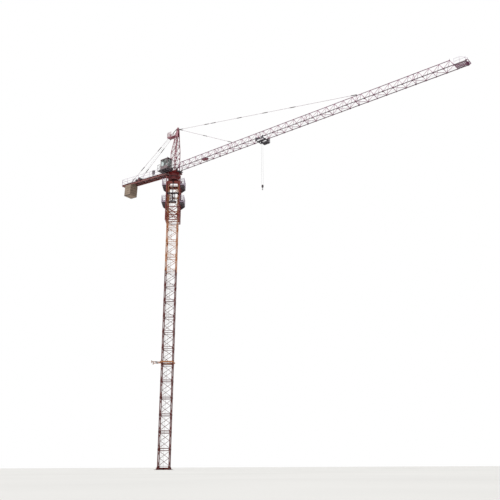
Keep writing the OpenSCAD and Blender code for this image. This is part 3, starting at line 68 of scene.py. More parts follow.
def linear(hexa):
    """An sRGB hex colour as the linear colour that a shader takes."""
    parts = [int(hexa[i : i + 2], 16) / 255 for i in (0, 2, 4)]
    return [c / 12.92 if c <= 0.04045 else ((c + 0.055) / 1.055) ** 2.4 for c in parts] + [1.0]


def add(material, kind, settings=(), feeds=(), **links):
    """One node: settings go to its inputs or to itself; feeds in their order, and links by name,
    join sockets, or the first output of a node, to its inputs."""
    new = material.node_tree.nodes.new("ShaderNode" + kind)
    for name, value in dict(settings).items():
        if hasattr(new, name):
            setattr(new, name, value)
        else:
            new.inputs[name].default_value = value
    named = [(name.replace("_", " "), source) for name, source in links.items()]
    for key, source in [*enumerate(feeds), *named]:
        source = source.outputs[0] if isinstance(source, bpy.types.Node) else source
        material.node_tree.links.new(source, new.inputs[key])
    return new


def grade(material, source, stops):
    """A colour ramp over a 0 to 1 source, as (place, hex or grey) stops."""
    ramp = add(material, "ValToRGB", Fac=source)
    ramp.color_ramp.elements.remove(ramp.color_ramp.elements[1])
    for i, (place, colour) in enumerate(stops):
        element = ramp.color_ramp.elements[0] if i == 0 else ramp.color_ramp.elements.new(place)
        element.position = place
        element.color = linear(colour) if isinstance(colour, str) else (colour, colour, colour, 1.0)
    return ramp


def blank(name):
    """An empty material, and its object coordinates in metres."""
    material = bpy.data.materials.new(name)
    material.use_nodes = True
    material.node_tree.nodes.clear()
    return material, add(material, "TexCoord").outputs["Object"]


def finish_with(material, shader):
    """Joins the shader to the material's output."""
    add(material, "OutputMaterial", Surface=shader)
    return material


def enamel(name, fresh, chalked, streak, rust="4a2a1a", gloss=0.42):
    """Weathered enamel; its clouds are 0.4 m wide and its streaks 70 mm, coarse enough to show
    from across the site, and its rust spots 25 mm."""
    m, place = blank(name)
    cloud = add(m, "TexNoise", {"Scale": 2.4, "Detail": 6.0, "Roughness": 0.62}, Vector=place)
    tone = grade(m, cloud, [(0.36, fresh), (0.66, chalked)])
    drawn = add(m, "Mapping", {"Scale": (14.0, 14.0, 1.0)}, Vector=place)
    runs = add(m, "TexNoise", {"Scale": 1.0, "Detail": 5.0, "Roughness": 0.6}, Vector=drawn)
    wet = grade(m, runs, [(0.54, 0.0), (0.70, 0.85)])
    streaked = add(m, "MixRGB", {"Color2": linear(streak)}, Fac=wet, Color1=tone)
    spots = add(m, "TexNoise", {"Scale": 40.0, "Detail": 4.0, "Roughness": 0.7}, Vector=place)
    areas = add(m, "Math", {"operation": "MULTIPLY"}, [spots, cloud])
    broken = grade(m, areas, [(0.33, 0.0), (0.36, 1.0)])
    rusted = add(m, "MixRGB", {"Color2": linear(rust)}, Fac=broken, Color1=streaked)
    dull = add(m, "MapRange", {"To Min": gloss - 0.08, "To Max": gloss + 0.22}, Value=cloud)
    skin = add(m, "TexNoise", {"Scale": 260.0, "Detail": 2.0}, Vector=place)
    peel = add(m, "Bump", {"Strength": 0.12, "Distance": 0.001}, Height=skin)
    chips = add(m, "Bump", {"Strength": 0.35, "Distance": 0.001, "invert": True}, Height=broken, Normal=peel)
    return finish_with(m, add(m, "BsdfPrincipled", Base_Color=rusted, Roughness=dull, Normal=chips))


def coat(material, *names):
    """Gives CAD pieces their finish."""
    for name in names:
        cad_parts[name].data.materials.clear()
        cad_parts[name].data.materials.append(material)


old_red = enamel("old_red_alkyd_enamel", "591516", "6b2a22", "2c0c0b")
coat(old_red, "base_frame")

# Anchor bolts through the feet, and the stiffener plates beside the beams over each foot.
# Galvanised steel, hot dipped: dull grey metal, blotched by its zinc crystals and a little rust.
anchor_r = 0.7469
beam_half = 0.055


def pick(piece, test):
    """Edit mode with only those faces selected whose centre and normal pass the test."""
    bpy.ops.object.mode_set(mode="OBJECT")
    bpy.context.view_layer.objects.active = piece
    for loose in (piece.data.vertices, piece.data.edges):
        loose.foreach_set("select", [False] * len(loose))
    for face in piece.data.polygons:
        face.select = bool(test(face.center, face.normal))
    bpy.ops.object.mode_set(mode="EDIT")
    bpy.ops.mesh.select_mode(type="FACE")


def placed(name=None):
    """Ends the shaping of the active piece: object mode, its place in its mesh."""
    bpy.ops.object.mode_set(mode="OBJECT")
    piece = bpy.context.object
    bpy.ops.object.transform_apply(location=True, rotation=True, scale=True)
    if name:
        piece.name = name
        piece.data.name = name
    return piece


def block(low, high):
    """A sharp-edged block between two corners."""
    bpy.ops.object.select_all(action="DESELECT")
    middle = [(a + b) / 2 for a, b in zip(low, high)]
    bpy.ops.mesh.primitive_cube_add(size=1.0, location=middle, scale=[b - a for a, b in zip(low, high)])
    return placed()


def slab(low, high, ease=0.002):
    """A plate or block between two corners, with its edges eased."""
    block(low, high)
    bpy.ops.object.mode_set(mode="EDIT")
    bpy.ops.mesh.select_all(action="SELECT")
    bpy.ops.mesh.bevel(offset=ease, segments=1)
    return placed()


def narrowed(piece, test, by, centre):
    """The piece with the faces that pass the test drawn in towards a point."""
    pick(piece, test)
    bpy.ops.transform.resize(value=by, center_override=centre)
    return placed()


def round_bar(start, end, r, sides=12, ease=0.0):
    """A round bar from start to end, its rims eased."""
    bpy.ops.object.select_all(action="DESELECT")
    run = Vector(end) - Vector(start)
    bpy.ops.mesh.primitive_cylinder_add(
        vertices=sides, radius=r, depth=run.length, location=(Vector(start) + Vector(end)) / 2,
        rotation=run.to_track_quat("Z", "Y").to_euler())
    along = run.normalized()
    piece = placed()
    if ease:
        pick(piece, lambda centre, normal: abs(normal.dot(along)) > 0.9)
        bpy.ops.mesh.bevel(offset=ease, segments=1)
        bpy.ops.object.mode_set(mode="OBJECT")
    bpy.ops.object.shade_smooth_by_angle(angle=math.radians(35))
    return piece


def post(x, y, start, end, r, sides=12, ease=0.0):
    """An upright round bar."""
    return round_bar((x, y, start), (x, y, end), r, sides, ease)


def joined(name, *pieces):
    """Pieces welded or bolted together become one."""
    bpy.ops.object.select_all(action="DESELECT")
    for piece in pieces:
        piece.select_set(True)
    bpy.context.view_layer.objects.active = pieces[0]
    if len(pieces) > 1:
        bpy.ops.object.join()
    return placed(name)


def set_out(name, piece, places):
    """A copy of a piece at each place, each with its own mesh, all joined; the pattern goes."""
    copies = []
    for place in places:
        copy = bpy.data.objects.new(name, piece.data.copy())
        bpy.context.scene.collection.objects.link(copy)
        copy.data.transform(place)
        copies.append(copy)
    bpy.data.objects.remove(piece)
    return joined(name, *copies)


def fixed(piece, body, material, place=None):
    """The piece's finish, the body that it rides on, and its place if it was shaped
    elsewhere."""
    if place is not None:
        piece.data.transform(place)
    piece.data.materials.clear()
    piece.data.materials.append(material)
    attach(piece, body)
    return piece


def hex_bolt(r, stem):
    """A hex head with a chamfered crown on its washer, standing on z = 0, its stem below."""
    bpy.ops.object.select_all(action="DESELECT")
    bpy.ops.mesh.primitive_cylinder_add(vertices=6, radius=1.85 * r, depth=1.2 * r, location=(0, 0, 0.9 * r))
    head = placed()
    pick(head, lambda centre, normal: normal.z > 0.9)
    bpy.ops.mesh.inset(thickness=0.25 * r, depth=0.12 * r)
    bpy.ops.object.mode_set(mode="OBJECT")
    washer = post(0, 0, 0, 0.32 * r, 2.1 * r, 12)
    shank = post(0, 0, -stem, 0.1 * r, r, 8)
    return joined("bolt", head, washer, shank)


def move(x, y, z):
    """A shift along the three axes."""
    return Matrix.Translation((x, y, z))


def spin(angle, axis):
    """A turn about one axis."""
    return Matrix.Rotation(angle, 4, axis)


def about(turn, *steps):
    """The place reached by steps, then turned about the mast's axis."""
    return spin(turn, "Z") @ move(*steps)


def stud(name, stem, length):
    """A threaded stud that stands on z = 0, with its nut and washer."""
    return joined(name, hex_bolt(0.0095, stem), post(0, 0, 0, length, 0.0092, 12, 0.0015))


def galvanised(name, pale, dull, stain):
    """Hot-dip zinc; real crystals are 6 mm wide, drawn 20 mm wide so that they show."""
    m, place = blank(name)
    crystal = add(m, "TexVoronoi", {"Scale": 50.0}, Vector=place)
    tone = grade(m, crystal, [(0.1, pale), (0.7, dull)])
    cloud = add(m, "TexNoise", {"Scale": 5.0, "Detail": 6.0}, Vector=place)
    spread = grade(m, cloud, [(0.55, 0.0), (0.75, 0.7)])
    worn = add(m, "MixRGB", {"Color2": linear(stain)}, Fac=spread, Color1=tone)
    dull_by = add(m, "MapRange", {"To Min": 0.42, "To Max": 0.66}, Value=cloud)
    return finish_with(m, add(m, "BsdfPrincipled", {"Metallic": 0.85}, Base_Color=worn, Roughness=dull_by))


zinc = galvanised("hot_dip_galvanised_steel", "8b8c90", "6b6c72", "5a4a40")
corners = [math.radians(a) for a in (45, 135, 225, 315)]
quarter_turns = [base_turn + a for a in corners]
anchors = set_out("anchor_bolts", stud("anchor", 0.018, 0.040), [
    about(turn, anchor_r, 0, foot_top) for turn in quarter_turns])
fixed(anchors, "tower", zinc)

plate_side = beam_half - 0.002
stiffener = slab((0.60, plate_side, foot_top - 0.002), (0.612, beam_half + 0.070, 0.120), 0.0015)
stiffener = narrowed(
    stiffener, lambda centre, normal: normal.y > 0.9, (1.0, 1.0, 0.25), (0.606, 0.0, foot_top))
over = [Matrix.Identity(4), spin(math.pi, "X") @ move(0, 0, -0.14)]
stiffeners = set_out("foot_stiffeners", stiffener, [
    spin(turn, "Z") @ side for turn in quarter_turns for side in over])
fixed(stiffeners, "tower", old_red)

# Mast: welded sections with angle legs and flat bracing, bolted leg on leg.
# The lower, older sections keep the dark red; the six above are newer, in orange enamel that the
# sun has bleached towards sand.
mast_half = 0.415
leg_half = 0.035
section_h = 1.25
base_h = 0.175
mast_sections = 18
red_sections = 12
coat(old_red, "mast_legs_lower", "mast_bracing_lower")
orange = enamel("bleached_orange_alkyd_enamel", "b26a35", "cb8f62", "6e3d20")
coat(orange, "mast_legs_upper", "mast_bracing_upper")

# Leg bolts: at each joint two long bolts a leg, each through a pair of sleeves welded in the
# leg's inner corner. Blackened high-strength steel, oiled: nearly black with a soft shine.
sleeve_r = 0.0125
sleeve_l = 0.057
sleeve_in = mast_half - leg_half - sleeve_r
sleeve_side = mast_half - 0.020


def oiled_steel(name, dark, worn, shine=0.36):
    """Steel under oil and dust; its clouds are 60 mm, its machining marks 3 mm."""
    m, place = blank(name)
    cloud = add(m, "TexNoise", {"Scale": 16.0, "Detail": 6.0, "Roughness": 0.65}, Vector=place)
    tone = grade(m, cloud, [(0.35, dark), (0.7, worn)])
    marks = add(m, "TexNoise", {"Scale": 320.0, "Detail": 2.0}, Vector=place)
    bump = add(m, "Bump", {"Strength": 0.15, "Distance": 0.0006}, Height=marks)
    dull = add(m, "MapRange", {"To Min": shine, "To Max": shine + 0.25}, Value=cloud)
    return finish_with(m, add(
        m, "BsdfPrincipled", {"Metallic": 0.7}, Base_Color=tone, Roughness=dull, Normal=bump))


def sleeve(low, high, r, bore):
    """A short tube: a cylinder whose ends are inset and bridged."""
    bar = post(0, 0, low, high, r, 12)
    pick(bar, lambda centre, normal: abs(normal.z) > 0.9)
    bpy.ops.mesh.inset(thickness=r - bore, use_individual=True)
    bpy.ops.mesh.bridge_edge_loops()
    return placed()


black_steel = oiled_steel("blackened_steel", "26252a", "45434a")
joint_turns = [base_turn + math.radians(a) for a in (0, 90, 180, 270)]
joint_levels = [base_h + i * section_h for i in range(1, mast_sections)]
corner_places = [(sleeve_in, sleeve_side), (sleeve_side, sleeve_in)]
joint_places = [
    about(turn, x, y, z) for z in joint_levels for turn in joint_turns for x, y in corner_places]
pair = joined("pair", sleeve(0.002, sleeve_l, sleeve_r, 0.009), sleeve(-sleeve_l, -0.002, sleeve_r, 0.009))
split = base_h + red_sections * section_h - 0.1
upper = [p for p in joint_places if p.translation.z > split]
lower = [p for p in joint_places if p.translation.z <= split]
red_pair = bpy.data.objects.new("pair", pair.data.copy())
bpy.context.scene.collection.objects.link(red_pair)
fixed(set_out("leg_sleeves_lower", red_pair, lower), "tower", old_red)
fixed(set_out("leg_sleeves_upper", pair, upper), "tower", orange)
nut = hex_bolt(0.0075, 0.006)
nut.data.transform(move(0, 0, -sleeve_l) @ spin(math.pi, "X"))
long_bolt = hex_bolt(0.0075, 2 * sleeve_l + 0.012)
long_bolt.data.transform(move(0, 0, sleeve_l))
leg_bolt = joined("leg_bolt", long_bolt, nut)
fixed(set_out("leg_bolts", leg_bolt, joint_places), "tower", black_steel)

# Access ladder, bolted inside one face of the mast: steel tube and bar under white enamel that
# boots have scuffed grey along the rungs.
white = enamel("scuffed_white_enamel", "d6d2cc", "e4e1dc", "a39d96", "7a6a5c", 0.5)
coat(white, "mast_ladder")

# Wall tie: a collar of four box beams clamped round the mast, and three struts from its lugs to two
# plates on the wall. Their orange enamel is the mast's own.
tie_z = 7.850
collar_out = 0.520
wall_face = -1.170
coat(orange, "wall_tie_collar", "wall_tie_struts")


def mast_place(x, y, z, turn=Matrix.Identity(4)):
    """A place given in the mast's own turned frame."""
    return about(base_turn, x, y, z) @ turn


to_wall_nut = spin(math.pi / 2, "Y")
wall_places = [
    mast_place(wall_face, y + 0.1 * math.cos(a), tie_z + 0.1 * math.sin(a), to_wall_nut)
    for y in (-0.42, 0.42) for a in corners]
wall_bolt = stud("wall_bolt", 0.016, 0.034)
fixed(set_out("wall_bolts", wall_bolt, wall_places), "tower", zinc)

# Clamping bolts that draw the collar's beams together, two above each other at every corner.
# Galvanised hex bolts with washers, as on the wall plates.
clamp = joined("clamp", hex_bolt(0.008, 0.010))
clamp_y, clamp_z = collar_out - 0.022, 0.026
clamp_places = [
    about(turn, collar_out, y, tie_z + z) @ to_wall_nut
    for turn in joint_turns for y in (-clamp_y, clamp_y) for z in (-clamp_z, clamp_z)]
fixed(set_out("collar_bolts", clamp, clamp_places), "tower", zinc)

# Screw adjusters in the struts: a hex sleeve with a lock nut at each end, cut from bar and greased
# black. They sit at the middle of each strut.
strut_ends = [((-0.565, -0.300), (-1.116, -0.455)), ((-0.565, 0.0), (-1.116, -0.385)),
              ((-0.565, 0.300), (-1.116, 0.420))]
adjuster_places = []
for near, far in strut_ends:
    run = Vector((*far, 0)) - Vector((*near, 0))
    middle = (Vector((*far, 0)) + Vector((*near, 0))) / 2
    along = run.to_track_quat("Z", "Y").to_matrix().to_4x4()
    adjuster_places.append(mast_place(middle.x, middle.y, tie_z, along))
adjuster = post(0, 0, -0.055, 0.055, 0.033, 6, 0.004)
lock_nuts = [post(0, 0, z - 0.008, z + 0.008, 0.031, 6, 0.002) for z in (-0.068, 0.068)]
adjuster = joined("adjuster", adjuster, *lock_nuts)
fixed(set_out("strut_adjusters", adjuster, adjuster_places), "tower", black_steel)

# Climbing frame: four welded posts with bracing that slide up round the mast, on guide shoes.
# Its red enamel is younger than the mast's, and the sun has bleached it in patches.
frame_half = 0.5475
post_half = 0.0425
frame_z = 19.455
sun_red = enamel("sun_faded_red_enamel", "74231d", "8e4137", "3d110e")
coat(sun_red, "climbing_posts", "climbing_bracing")

# Adjusting screws that press each guide shoe against its mast leg, from the frame's outer side.
# Blackened hex-headed steel.
shoe_levels = [frame_z + up for up in (0.450, 1.175, 2.335)]
shoe_bolt = hex_bolt(0.009, 0.006)
shoe_side = mast_half + 0.020
shoe_places = [
    about(base_turn + a * math.pi / 2, x, -0.5725, z) @ spin(math.pi / 2, "X")
    for a in range(4) for x in (-shoe_side, shoe_side) for z in shoe_levels]
fixed(set_out("shoe_screws", shoe_bolt, shoe_places), "tower", black_steel)

# Working platforms on two sides of the frame: chequer plate on welded brackets. Rolled steel plate
# with raised lozenges, painted grey and worn to metal where people walk.


def chequer_plate(name, paint, worn):
    """Chequer plate; the lozenges stand 14 mm apart, as real ones do at this scale."""
    m, place = blank(name)
    turned = add(m, "Mapping", {"Rotation": (0, 0, math.radians(45)), "Scale": (71.0, 71.0, 71.0)},
                 Vector=place)
    tears = add(m, "TexBrick", {
        "Color1": (1, 1, 1, 1), "Color2": (1, 1, 1, 1), "Mortar": (0, 0, 0, 1), "Scale": 1.0, "offset": 0.5,
        "Mortar Size": 0.22, "Mortar Smooth": 0.6, "Brick Width": 1.0, "Row Height": 0.5}, Vector=turned)
    cloud = add(m, "TexNoise", {"Scale": 4.0, "Detail": 6.0, "Roughness": 0.66}, Vector=place)
    trodden = grade(m, cloud, [(0.50, 0.0), (0.70, 0.8)])
    tone = add(m, "MixRGB", {"Color1": linear(paint), "Color2": linear(worn)}, Fac=trodden)
    dull = add(m, "MapRange", {"To Min": 0.7, "To Max": 0.4}, Value=trodden)
    raised = add(m, "Bump", {"Strength": 0.8, "Distance": 0.0012}, Height=tears)
    return finish_with(m, add(m, "BsdfPrincipled", Base_Color=tone, Roughness=dull, Normal=raised))


tread = chequer_plate("grey_painted_chequer_plate", "463c42", "6c6468")
coat(tread, "climbing_platforms")

# Guard rails of the platforms: steel tube, welded and bolted on in frames, under a thin light
# enamel that has gone to a dusty lilac grey.
pale = enamel("dusty_pale_enamel", "a992ab", "bfadc1", "7d6c80", "6f5a58", 0.5)
coat(pale, "climbing_rails")

# Wire mesh in the end fields of those rails: 3 mm steel wire at 24 mm, welded at each crossing and
# to the tubes, painted once and dusty.
deck_z = [frame_z + up + 0.010 for up in (1.558, 3.096)]
deck_in = frame_half + post_half
deck_w = 0.340
guard_h = 0.620
mesh_pitch = 0.024
end_side = deck_in - 0.008
mesh_places = [
    about(base_turn + side, deck_in, y, z)
    for side in (0, math.pi) for y in (-end_side, end_side) for z in deck_z]


def panel(width, height, pitch, thick):
    """Welded mesh in the XZ plane from the origin, upright and level wires crossing."""
    ups = round(width / pitch)
    levels = round(height / pitch)
    upright = block((0, -thick / 2, 0), (thick, thick / 2, height))
    level = block((0, -thick, 0), (width, 0, thick))
    uprights = set_out("uprights", upright, [move(i * width / ups, 0, 0) for i in range(1, ups)])
    crossing = set_out("crossing", level, [move(0, 0, i * height / levels) for i in range(1, levels)])
    return joined("panel", uprights, crossing)


infill = panel(deck_w - 0.012, guard_h - 0.085, mesh_pitch, 0.003)
infill.data.transform(move(0, 0, 0.070))
mesh_wire = oiled_steel("welded_mesh_wire", "574a55", "7d6f7b", 0.5)
fixed(set_out("balcony_mesh", infill, mesh_places), "tower", mesh_wire)

# Jack: crossbeam, guides, hydraulic cylinder and the yoke that it pushes down on the mast.
# Thick plate and tube under dark grease-stained paint; the piston rod is hard chrome, ground and
# polished, so it mirrors like a dark glass.
jack_y = -0.6325
greasy = oiled_steel("grease_stained_dark_enamel", "2a2024", "43343a", 0.42)
coat(greasy, "jacking_frame", "jacking_beam")
cylinder_coat = enamel("dark_violet_machine_enamel", "33222c", "4a3540", "1a1014", "3a2a22", 0.35)
coat(cylinder_coat, "jacking_cylinder")
cross_z = frame_z + 2.335
yoke_z = frame_z + 1.498


def ground_chrome(name):
    """Hard chrome on ground steel; ring marks 2 mm apart from the grinding."""
    m, place = blank(name)
    rings = add(m, "TexWave", {"bands_direction": "Z", "Scale": 160.0, "Distortion": 1.0}, Vector=place)
    dull = add(m, "MapRange", {"To Min": 0.10, "To Max": 0.22}, Value=rings.outputs["Fac"])
    oil = add(m, "TexNoise", {"Scale": 30.0, "Detail": 4.0}, Vector=place)
    tone = grade(m, oil, [(0.3, "8c8f94"), (0.7, "a6a8ac")])
    return finish_with(m, add(m, "BsdfPrincipled", {"Metallic": 1.0}, Base_Color=tone, Roughness=dull))


def axle(x, z, start, end, r, sides=12, ease=0.0):
    """A round bar along Y."""
    return round_bar((x, start, z), (x, end, z), r, sides, ease)


chrome = ground_chrome("hard_chrome_on_ground_steel")
rod = joined("piston_rod", post(0, jack_y, yoke_z + 0.088, cross_z - 0.640, 0.0275, 24, 0.001))
fixed(rod, "tower", chrome, spin(base_turn, "Z"))
glands = []
for low, high, r in ((-0.672, -0.640, 0.058), (-0.640, -0.622, 0.062), (-0.105, -0.085, 0.060)):
    glands.append(post(0, jack_y, cross_z + low, cross_z + high, r, 24, 0.003))
ports = (cross_z - 0.60, cross_z - 0.13)
for z in ports:
    glands.append(axle(0, z, jack_y - 0.045, jack_y - 0.080, 0.014, 6, 0.002))
gland_rings = joined("cylinder_glands", *glands)
fixed(gland_rings, "tower", black_steel, spin(base_turn, "Z"))

# Hydraulic pump unit on the lower platform: an oil tank with its motor upright on the lid, a valve
# block and a filler cap. Pressed and welded sheet under machine enamel.
pump_x = deck_in + 0.060
pump_z = deck_z[0]
motor_x, motor_y = 0.10, -0.06
tank = slab((0, -0.16, 0.010), (0.20, 0.16, 0.190), 0.008)
lid = slab((-0.006, -0.166, 0.188), (0.206, 0.166, 0.198), 0.002)
feet = [slab((x, y - 0.015, 0), (x + 0.03, y + 0.015, 0.014), 0.002)
        for x in (0.01, 0.16) for y in (-0.13, 0.13)]
motor = post(motor_x, motor_y, 0.196, 0.37, 0.055, 24, 0.006)
cowl = post(motor_x, motor_y, 0.36, 0.40, 0.061, 24, 0.008)
fin = slab((0.050, -0.0015, 0.215), (0.064, 0.0015, 0.350), 0.0005)
fins = set_out("fins", fin, [
    move(motor_x, motor_y, 0) @ spin(math.radians(15 * i), "Z") for i in range(24)])
valve = slab((0.06, 0.05, 0.196), (0.15, 0.12, 0.26), 0.004)
cap = post(0.03, 0.13, 0.196, 0.225, 0.02, 16, 0.004)
pump = joined("pump_unit", tank, lid, *feet, motor, cowl, fins, valve, cap)
fixed(pump, "tower", cylinder_coat, about(base_turn, pump_x, 0, pump_z))

# Two steel pressure pipes from the valve block to the cylinder's ports, clipped to the frame.
# Drawn carbon steel tube, blackened and oiled.


def pipe(name, points, r, bend=0.03):
    """A bent tube through the points: a curve whose corners are eased, made a mesh."""
    bpy.ops.object.select_all(action="DESELECT")
    curve = bpy.data.curves.new(name, "CURVE")
    curve.dimensions = "3D"
    line = curve.splines.new("BEZIER")
    eased = []
    for i, here in enumerate(points):
        here = Vector(here)
        if 0 < i < len(points) - 1:
            for other in (points[i - 1], points[i + 1]):
                toward = Vector(other) - here
                eased.append((here + toward.normalized() * min(bend, toward.length / 2.2), here))
        else:
            eased.append((here, here))
    line.bezier_points.add(len(eased) - 1)
    for knot, (at, corner) in zip(line.bezier_points, eased):
        knot.co = at
        knot.handle_left_type = knot.handle_right_type = "FREE"
        knot.handle_left = knot.handle_right = at + (corner - at) * 0.55
    for i in range(len(eased) - 1):
        knot, after = line.bezier_points[i], line.bezier_points[i + 1]
        if eased[i][1] != eased[i + 1][1] or i == 0:
            knot.handle_right = knot.co + (after.co - knot.co) / 3
            after.handle_left = after.co + (knot.co - after.co) / 3
    curve.bevel_depth = r
    curve.bevel_resolution = 2
    curve.resolution_u = 4
    curve.use_fill_caps = True
    piece = bpy.data.objects.new(name, curve)
    bpy.context.scene.collection.objects.link(piece)
    piece.select_set(True)
    bpy.context.view_layer.objects.active = piece
    bpy.ops.object.convert(target="MESH")
    piece = bpy.context.object
    bpy.ops.object.shade_smooth()
    return piece


pipes = []
front_y, side_x = jack_y - 0.075, deck_in + 0.012
for lift, port in zip((0.0, 0.022), ports):
    low = pump_z + 0.225 + lift
    aside, corner_y, rise_x = -0.22 - lift, -frame_half - 0.060, 0.20 + lift
    pipes.append(pipe("pipe", [
        (pump_x + motor_x, 0.05, low), (pump_x + motor_x, aside, low), (side_x, aside, low),
        (side_x, corner_y, low), (rise_x, corner_y, low), (rise_x, front_y, low),
        (rise_x, front_y, port), (0, front_y, port)], 0.006))
clip = slab((-0.010, -0.004, -0.002), (0.010, 0.012, 0.034), 0.001)
clips = set_out("clips", clip, [move(deck_in + 0.005, y, pump_z + 0.220) for y in (-0.30, -0.46)])
tubing = joined("pressure_pipes", clips, *pipes)
fixed(tubing, "tower", black_steel, spin(base_turn, "Z"))

# Slewing unit: the lower seat stands on the mast, the forged ring is bolted to it and the upper
# seat turns on the ring's rollers. Heavy plate weldments under glossier deep red enamel, with
# grease run down from the ring.
ring_z = 23.450
ring_top = 23.512
seat_r = 0.430
flange_mid = seat_r + 0.011
deep_red = enamel("deep_red_alkyd_enamel", "641013", "7c1f20", "300606", "3f2117", 0.36)
coat(deep_red, "lower_seat", "upper_seat", "deck_floor")
greased_ring = oiled_steel("greased_forged_steel", "1f1c1e", "3c3837", 0.28)
coat(greased_ring, "slewing_ring")

# Ring bolts, 40 in each flange: they clamp the seats to the ring from above and from below.
# Blackened high-strength steel.
ring_bolt_angles = [math.radians(9 * i + 4.5) for i in range(40)]
upper_bolts = set_out("ring_bolts_upper", hex_bolt(0.0052, 0.010), [
    about(a, flange_mid, 0, ring_top + 0.037) for a in ring_bolt_angles])
fixed(upper_bolts, "upperworks", black_steel)
lower_bolts = set_out("ring_bolts_lower", hex_bolt(0.0052, 0.010), [
    about(a, flange_mid, 0, ring_z - 0.030) @ spin(math.pi, "X") for a in ring_bolt_angles])
fixed(lower_bolts, "tower", black_steel)

# Slewing drives: upright motors with cooling fins on planetary gearboxes, cast and machined.
# Cast iron and aluminium under dark machine enamel.
upper_deck = 23.920
drive_x, drive_y = 0.060, 0.360
coat(greasy, "slewing_drive")
drive_fin = slab((0.047, -0.0015, 0.150), (0.062, 0.0015, 0.285), 0.0005)
drive_fins = set_out("drive_fins", drive_fin, [spin(math.radians(12 * i), "Z") for i in range(30)])
drive_cowl = post(0, 0, 0.290, 0.345, 0.064, 28, 0.010)
gear_rims = [post(0, 0, z, z + 0.012, 0.078, 28, 0.002) for z in (0.056, 0.104)]
terminal = slab((0.050, -0.030, 0.180), (0.095, 0.030, 0.250), 0.005)
rim_bolts = set_out("rim_bolts", hex_bolt(0.0045, 0.008), [
    about(math.radians(36 * i), 0.070, 0, 0.116) for i in range(10)])
eye_ring = post(0, 0, 0.344, 0.362, 0.012, 12, 0.002)
drive = joined("drive", drive_fins, drive_cowl, *gear_rims, terminal, rim_bolts, eye_ring)
drives = set_out("slewing_motors", drive, [move(drive_x, side * drive_y, upper_deck) for side in (-1, 1)])
fixed(drives, "upperworks", cylinder_coat)

# Small platform under the jib's foot, on welded brackets: the same chequer plate as on the climbing
# frame, worn in the same way.
coat(tread, "front_platform")

# Tower head: four legs of square tube with bracing, upright to the knee and then drawn in to a
# plated top. Crimson enamel, bleached by the sun to a mauve bloom, streaked under every joint.
knee_z = upper_deck + 1.900
head_x = (-0.250, 0.360)
head_y = 0.235
head_leg = 0.023
crimson = enamel("sun_bleached_crimson_enamel", "7a2338", "9a5366", "43141f", "4a2a22", 0.44)
coat(crimson, "tower_head", "head_bracing", "head_platform", "head_rails")

# Gussets in the corners of the upright part, where braces meet the legs: 6 mm plate, cut to taper
# and welded along its edges.
gusset_l = 0.095
half_gusset = slab((0, -0.003, -gusset_l / 2), (gusset_l, 0.003, gusset_l / 2), 0.001)
half_gusset = narrowed(
    half_gusset, lambda centre, normal: normal.x > 0.9, (1.0, 1.0, 0.30), (gusset_l, 0.0, 0.0))
gusset_places = []
for z in (upper_deck + 0.650, upper_deck + 1.300):
    for y in (-head_y, head_y):
        for x, turn in ((head_x[0] + head_leg - 0.002, 0.0), (head_x[1] - head_leg + 0.002, math.pi)):
            gusset_places.append(move(x, y, z) @ spin(turn, "Z"))
    for x in head_x:
        for y, turn in ((-head_y + head_leg - 0.002, math.pi / 2), (head_y - head_leg + 0.002, -math.pi / 2)):
            gusset_places.append(move(x, y, z) @ spin(turn, "Z"))
fixed(set_out("head_gussets", half_gusset, gusset_places), "upperworks", crimson)

# Foot bolts of the head, four through each foot plate into the slewing deck's frame. Blackened
# high-strength steel.
foot_places = [move(x + dx, side * head_y, upper_deck + 0.016)
               for x in head_x for side in (-1, 1) for dx in (-0.032, 0.032)]
foot_bolts = set_out("head_foot_bolts", hex_bolt(0.005, 0.010), foot_places)
fixed(foot_bolts, "upperworks", black_steel)

# Ladder inside the head, up its rear legs to the perch: tube rails and round rungs, welded, in the
# mast ladder's white enamel.
rear_rise = (0.185 - head_x[0]) / (upper_deck + 4.130 - knee_z)
perch_z = 27.450
ladder_half = 0.090


def rear_at(z):
    """How far forward the rear legs stand at a height."""
    return head_x[0] + 0.040 + max(0.0, (z - knee_z) * rear_rise)


stretches = []
for low, high in ((upper_deck + 0.010, knee_z), (knee_z, perch_z - 0.05)):
    for y in (-ladder_half, ladder_half):
        stretches.append(round_bar((rear_at(low), y, low), (rear_at(high), y, high), 0.009, 10))
rung = axle(0, 0, -ladder_half, ladder_half, 0.006, 8)
rung_levels = [upper_deck + 0.150 * (i + 1) for i in range(int((perch_z - upper_deck) / 0.150) - 1)]
rungs = set_out("rungs", rung, [move(rear_at(z), 0, z) for z in rung_levels])
fixed(joined("head_ladder", *stretches, rungs), "upperworks", white)

# Rope sheaves of the head and of the jib's tip: cast iron wheels turned in the groove, their rims
# polished by the rope.
bright_iron = oiled_steel("rope_polished_cast_iron", "2b2a2e", "6a696d", 0.30)
coat(bright_iron, "rope_sheaves", "tip_sheaves")

# Jib: a triangular lattice in six sections, its two lower chords with a flange outside that the
# trolley runs on. Square tube and flat bar, welded. The sun has drawn the top chord's crimson enamel
# towards a dusty plum and the lacing's towards rose.
jib_start = 0.640
bay = 0.704
bays = 35
jib_half = 0.290
jib_z = 24.120
top_z = 24.733
plum = enamel("sun_bleached_plum_enamel", "5b2440", "875370", "331326", "43261f", 0.46)
coat(plum, "jib_top_chord", "jib_tip")
rose = enamel("sun_bleached_rose_enamel", "87325a", "ac7092", "4a1a32", "4d2a22", 0.48)
coat(rose, "jib_web_near", "jib_web_far", "jib_floor_bracing")
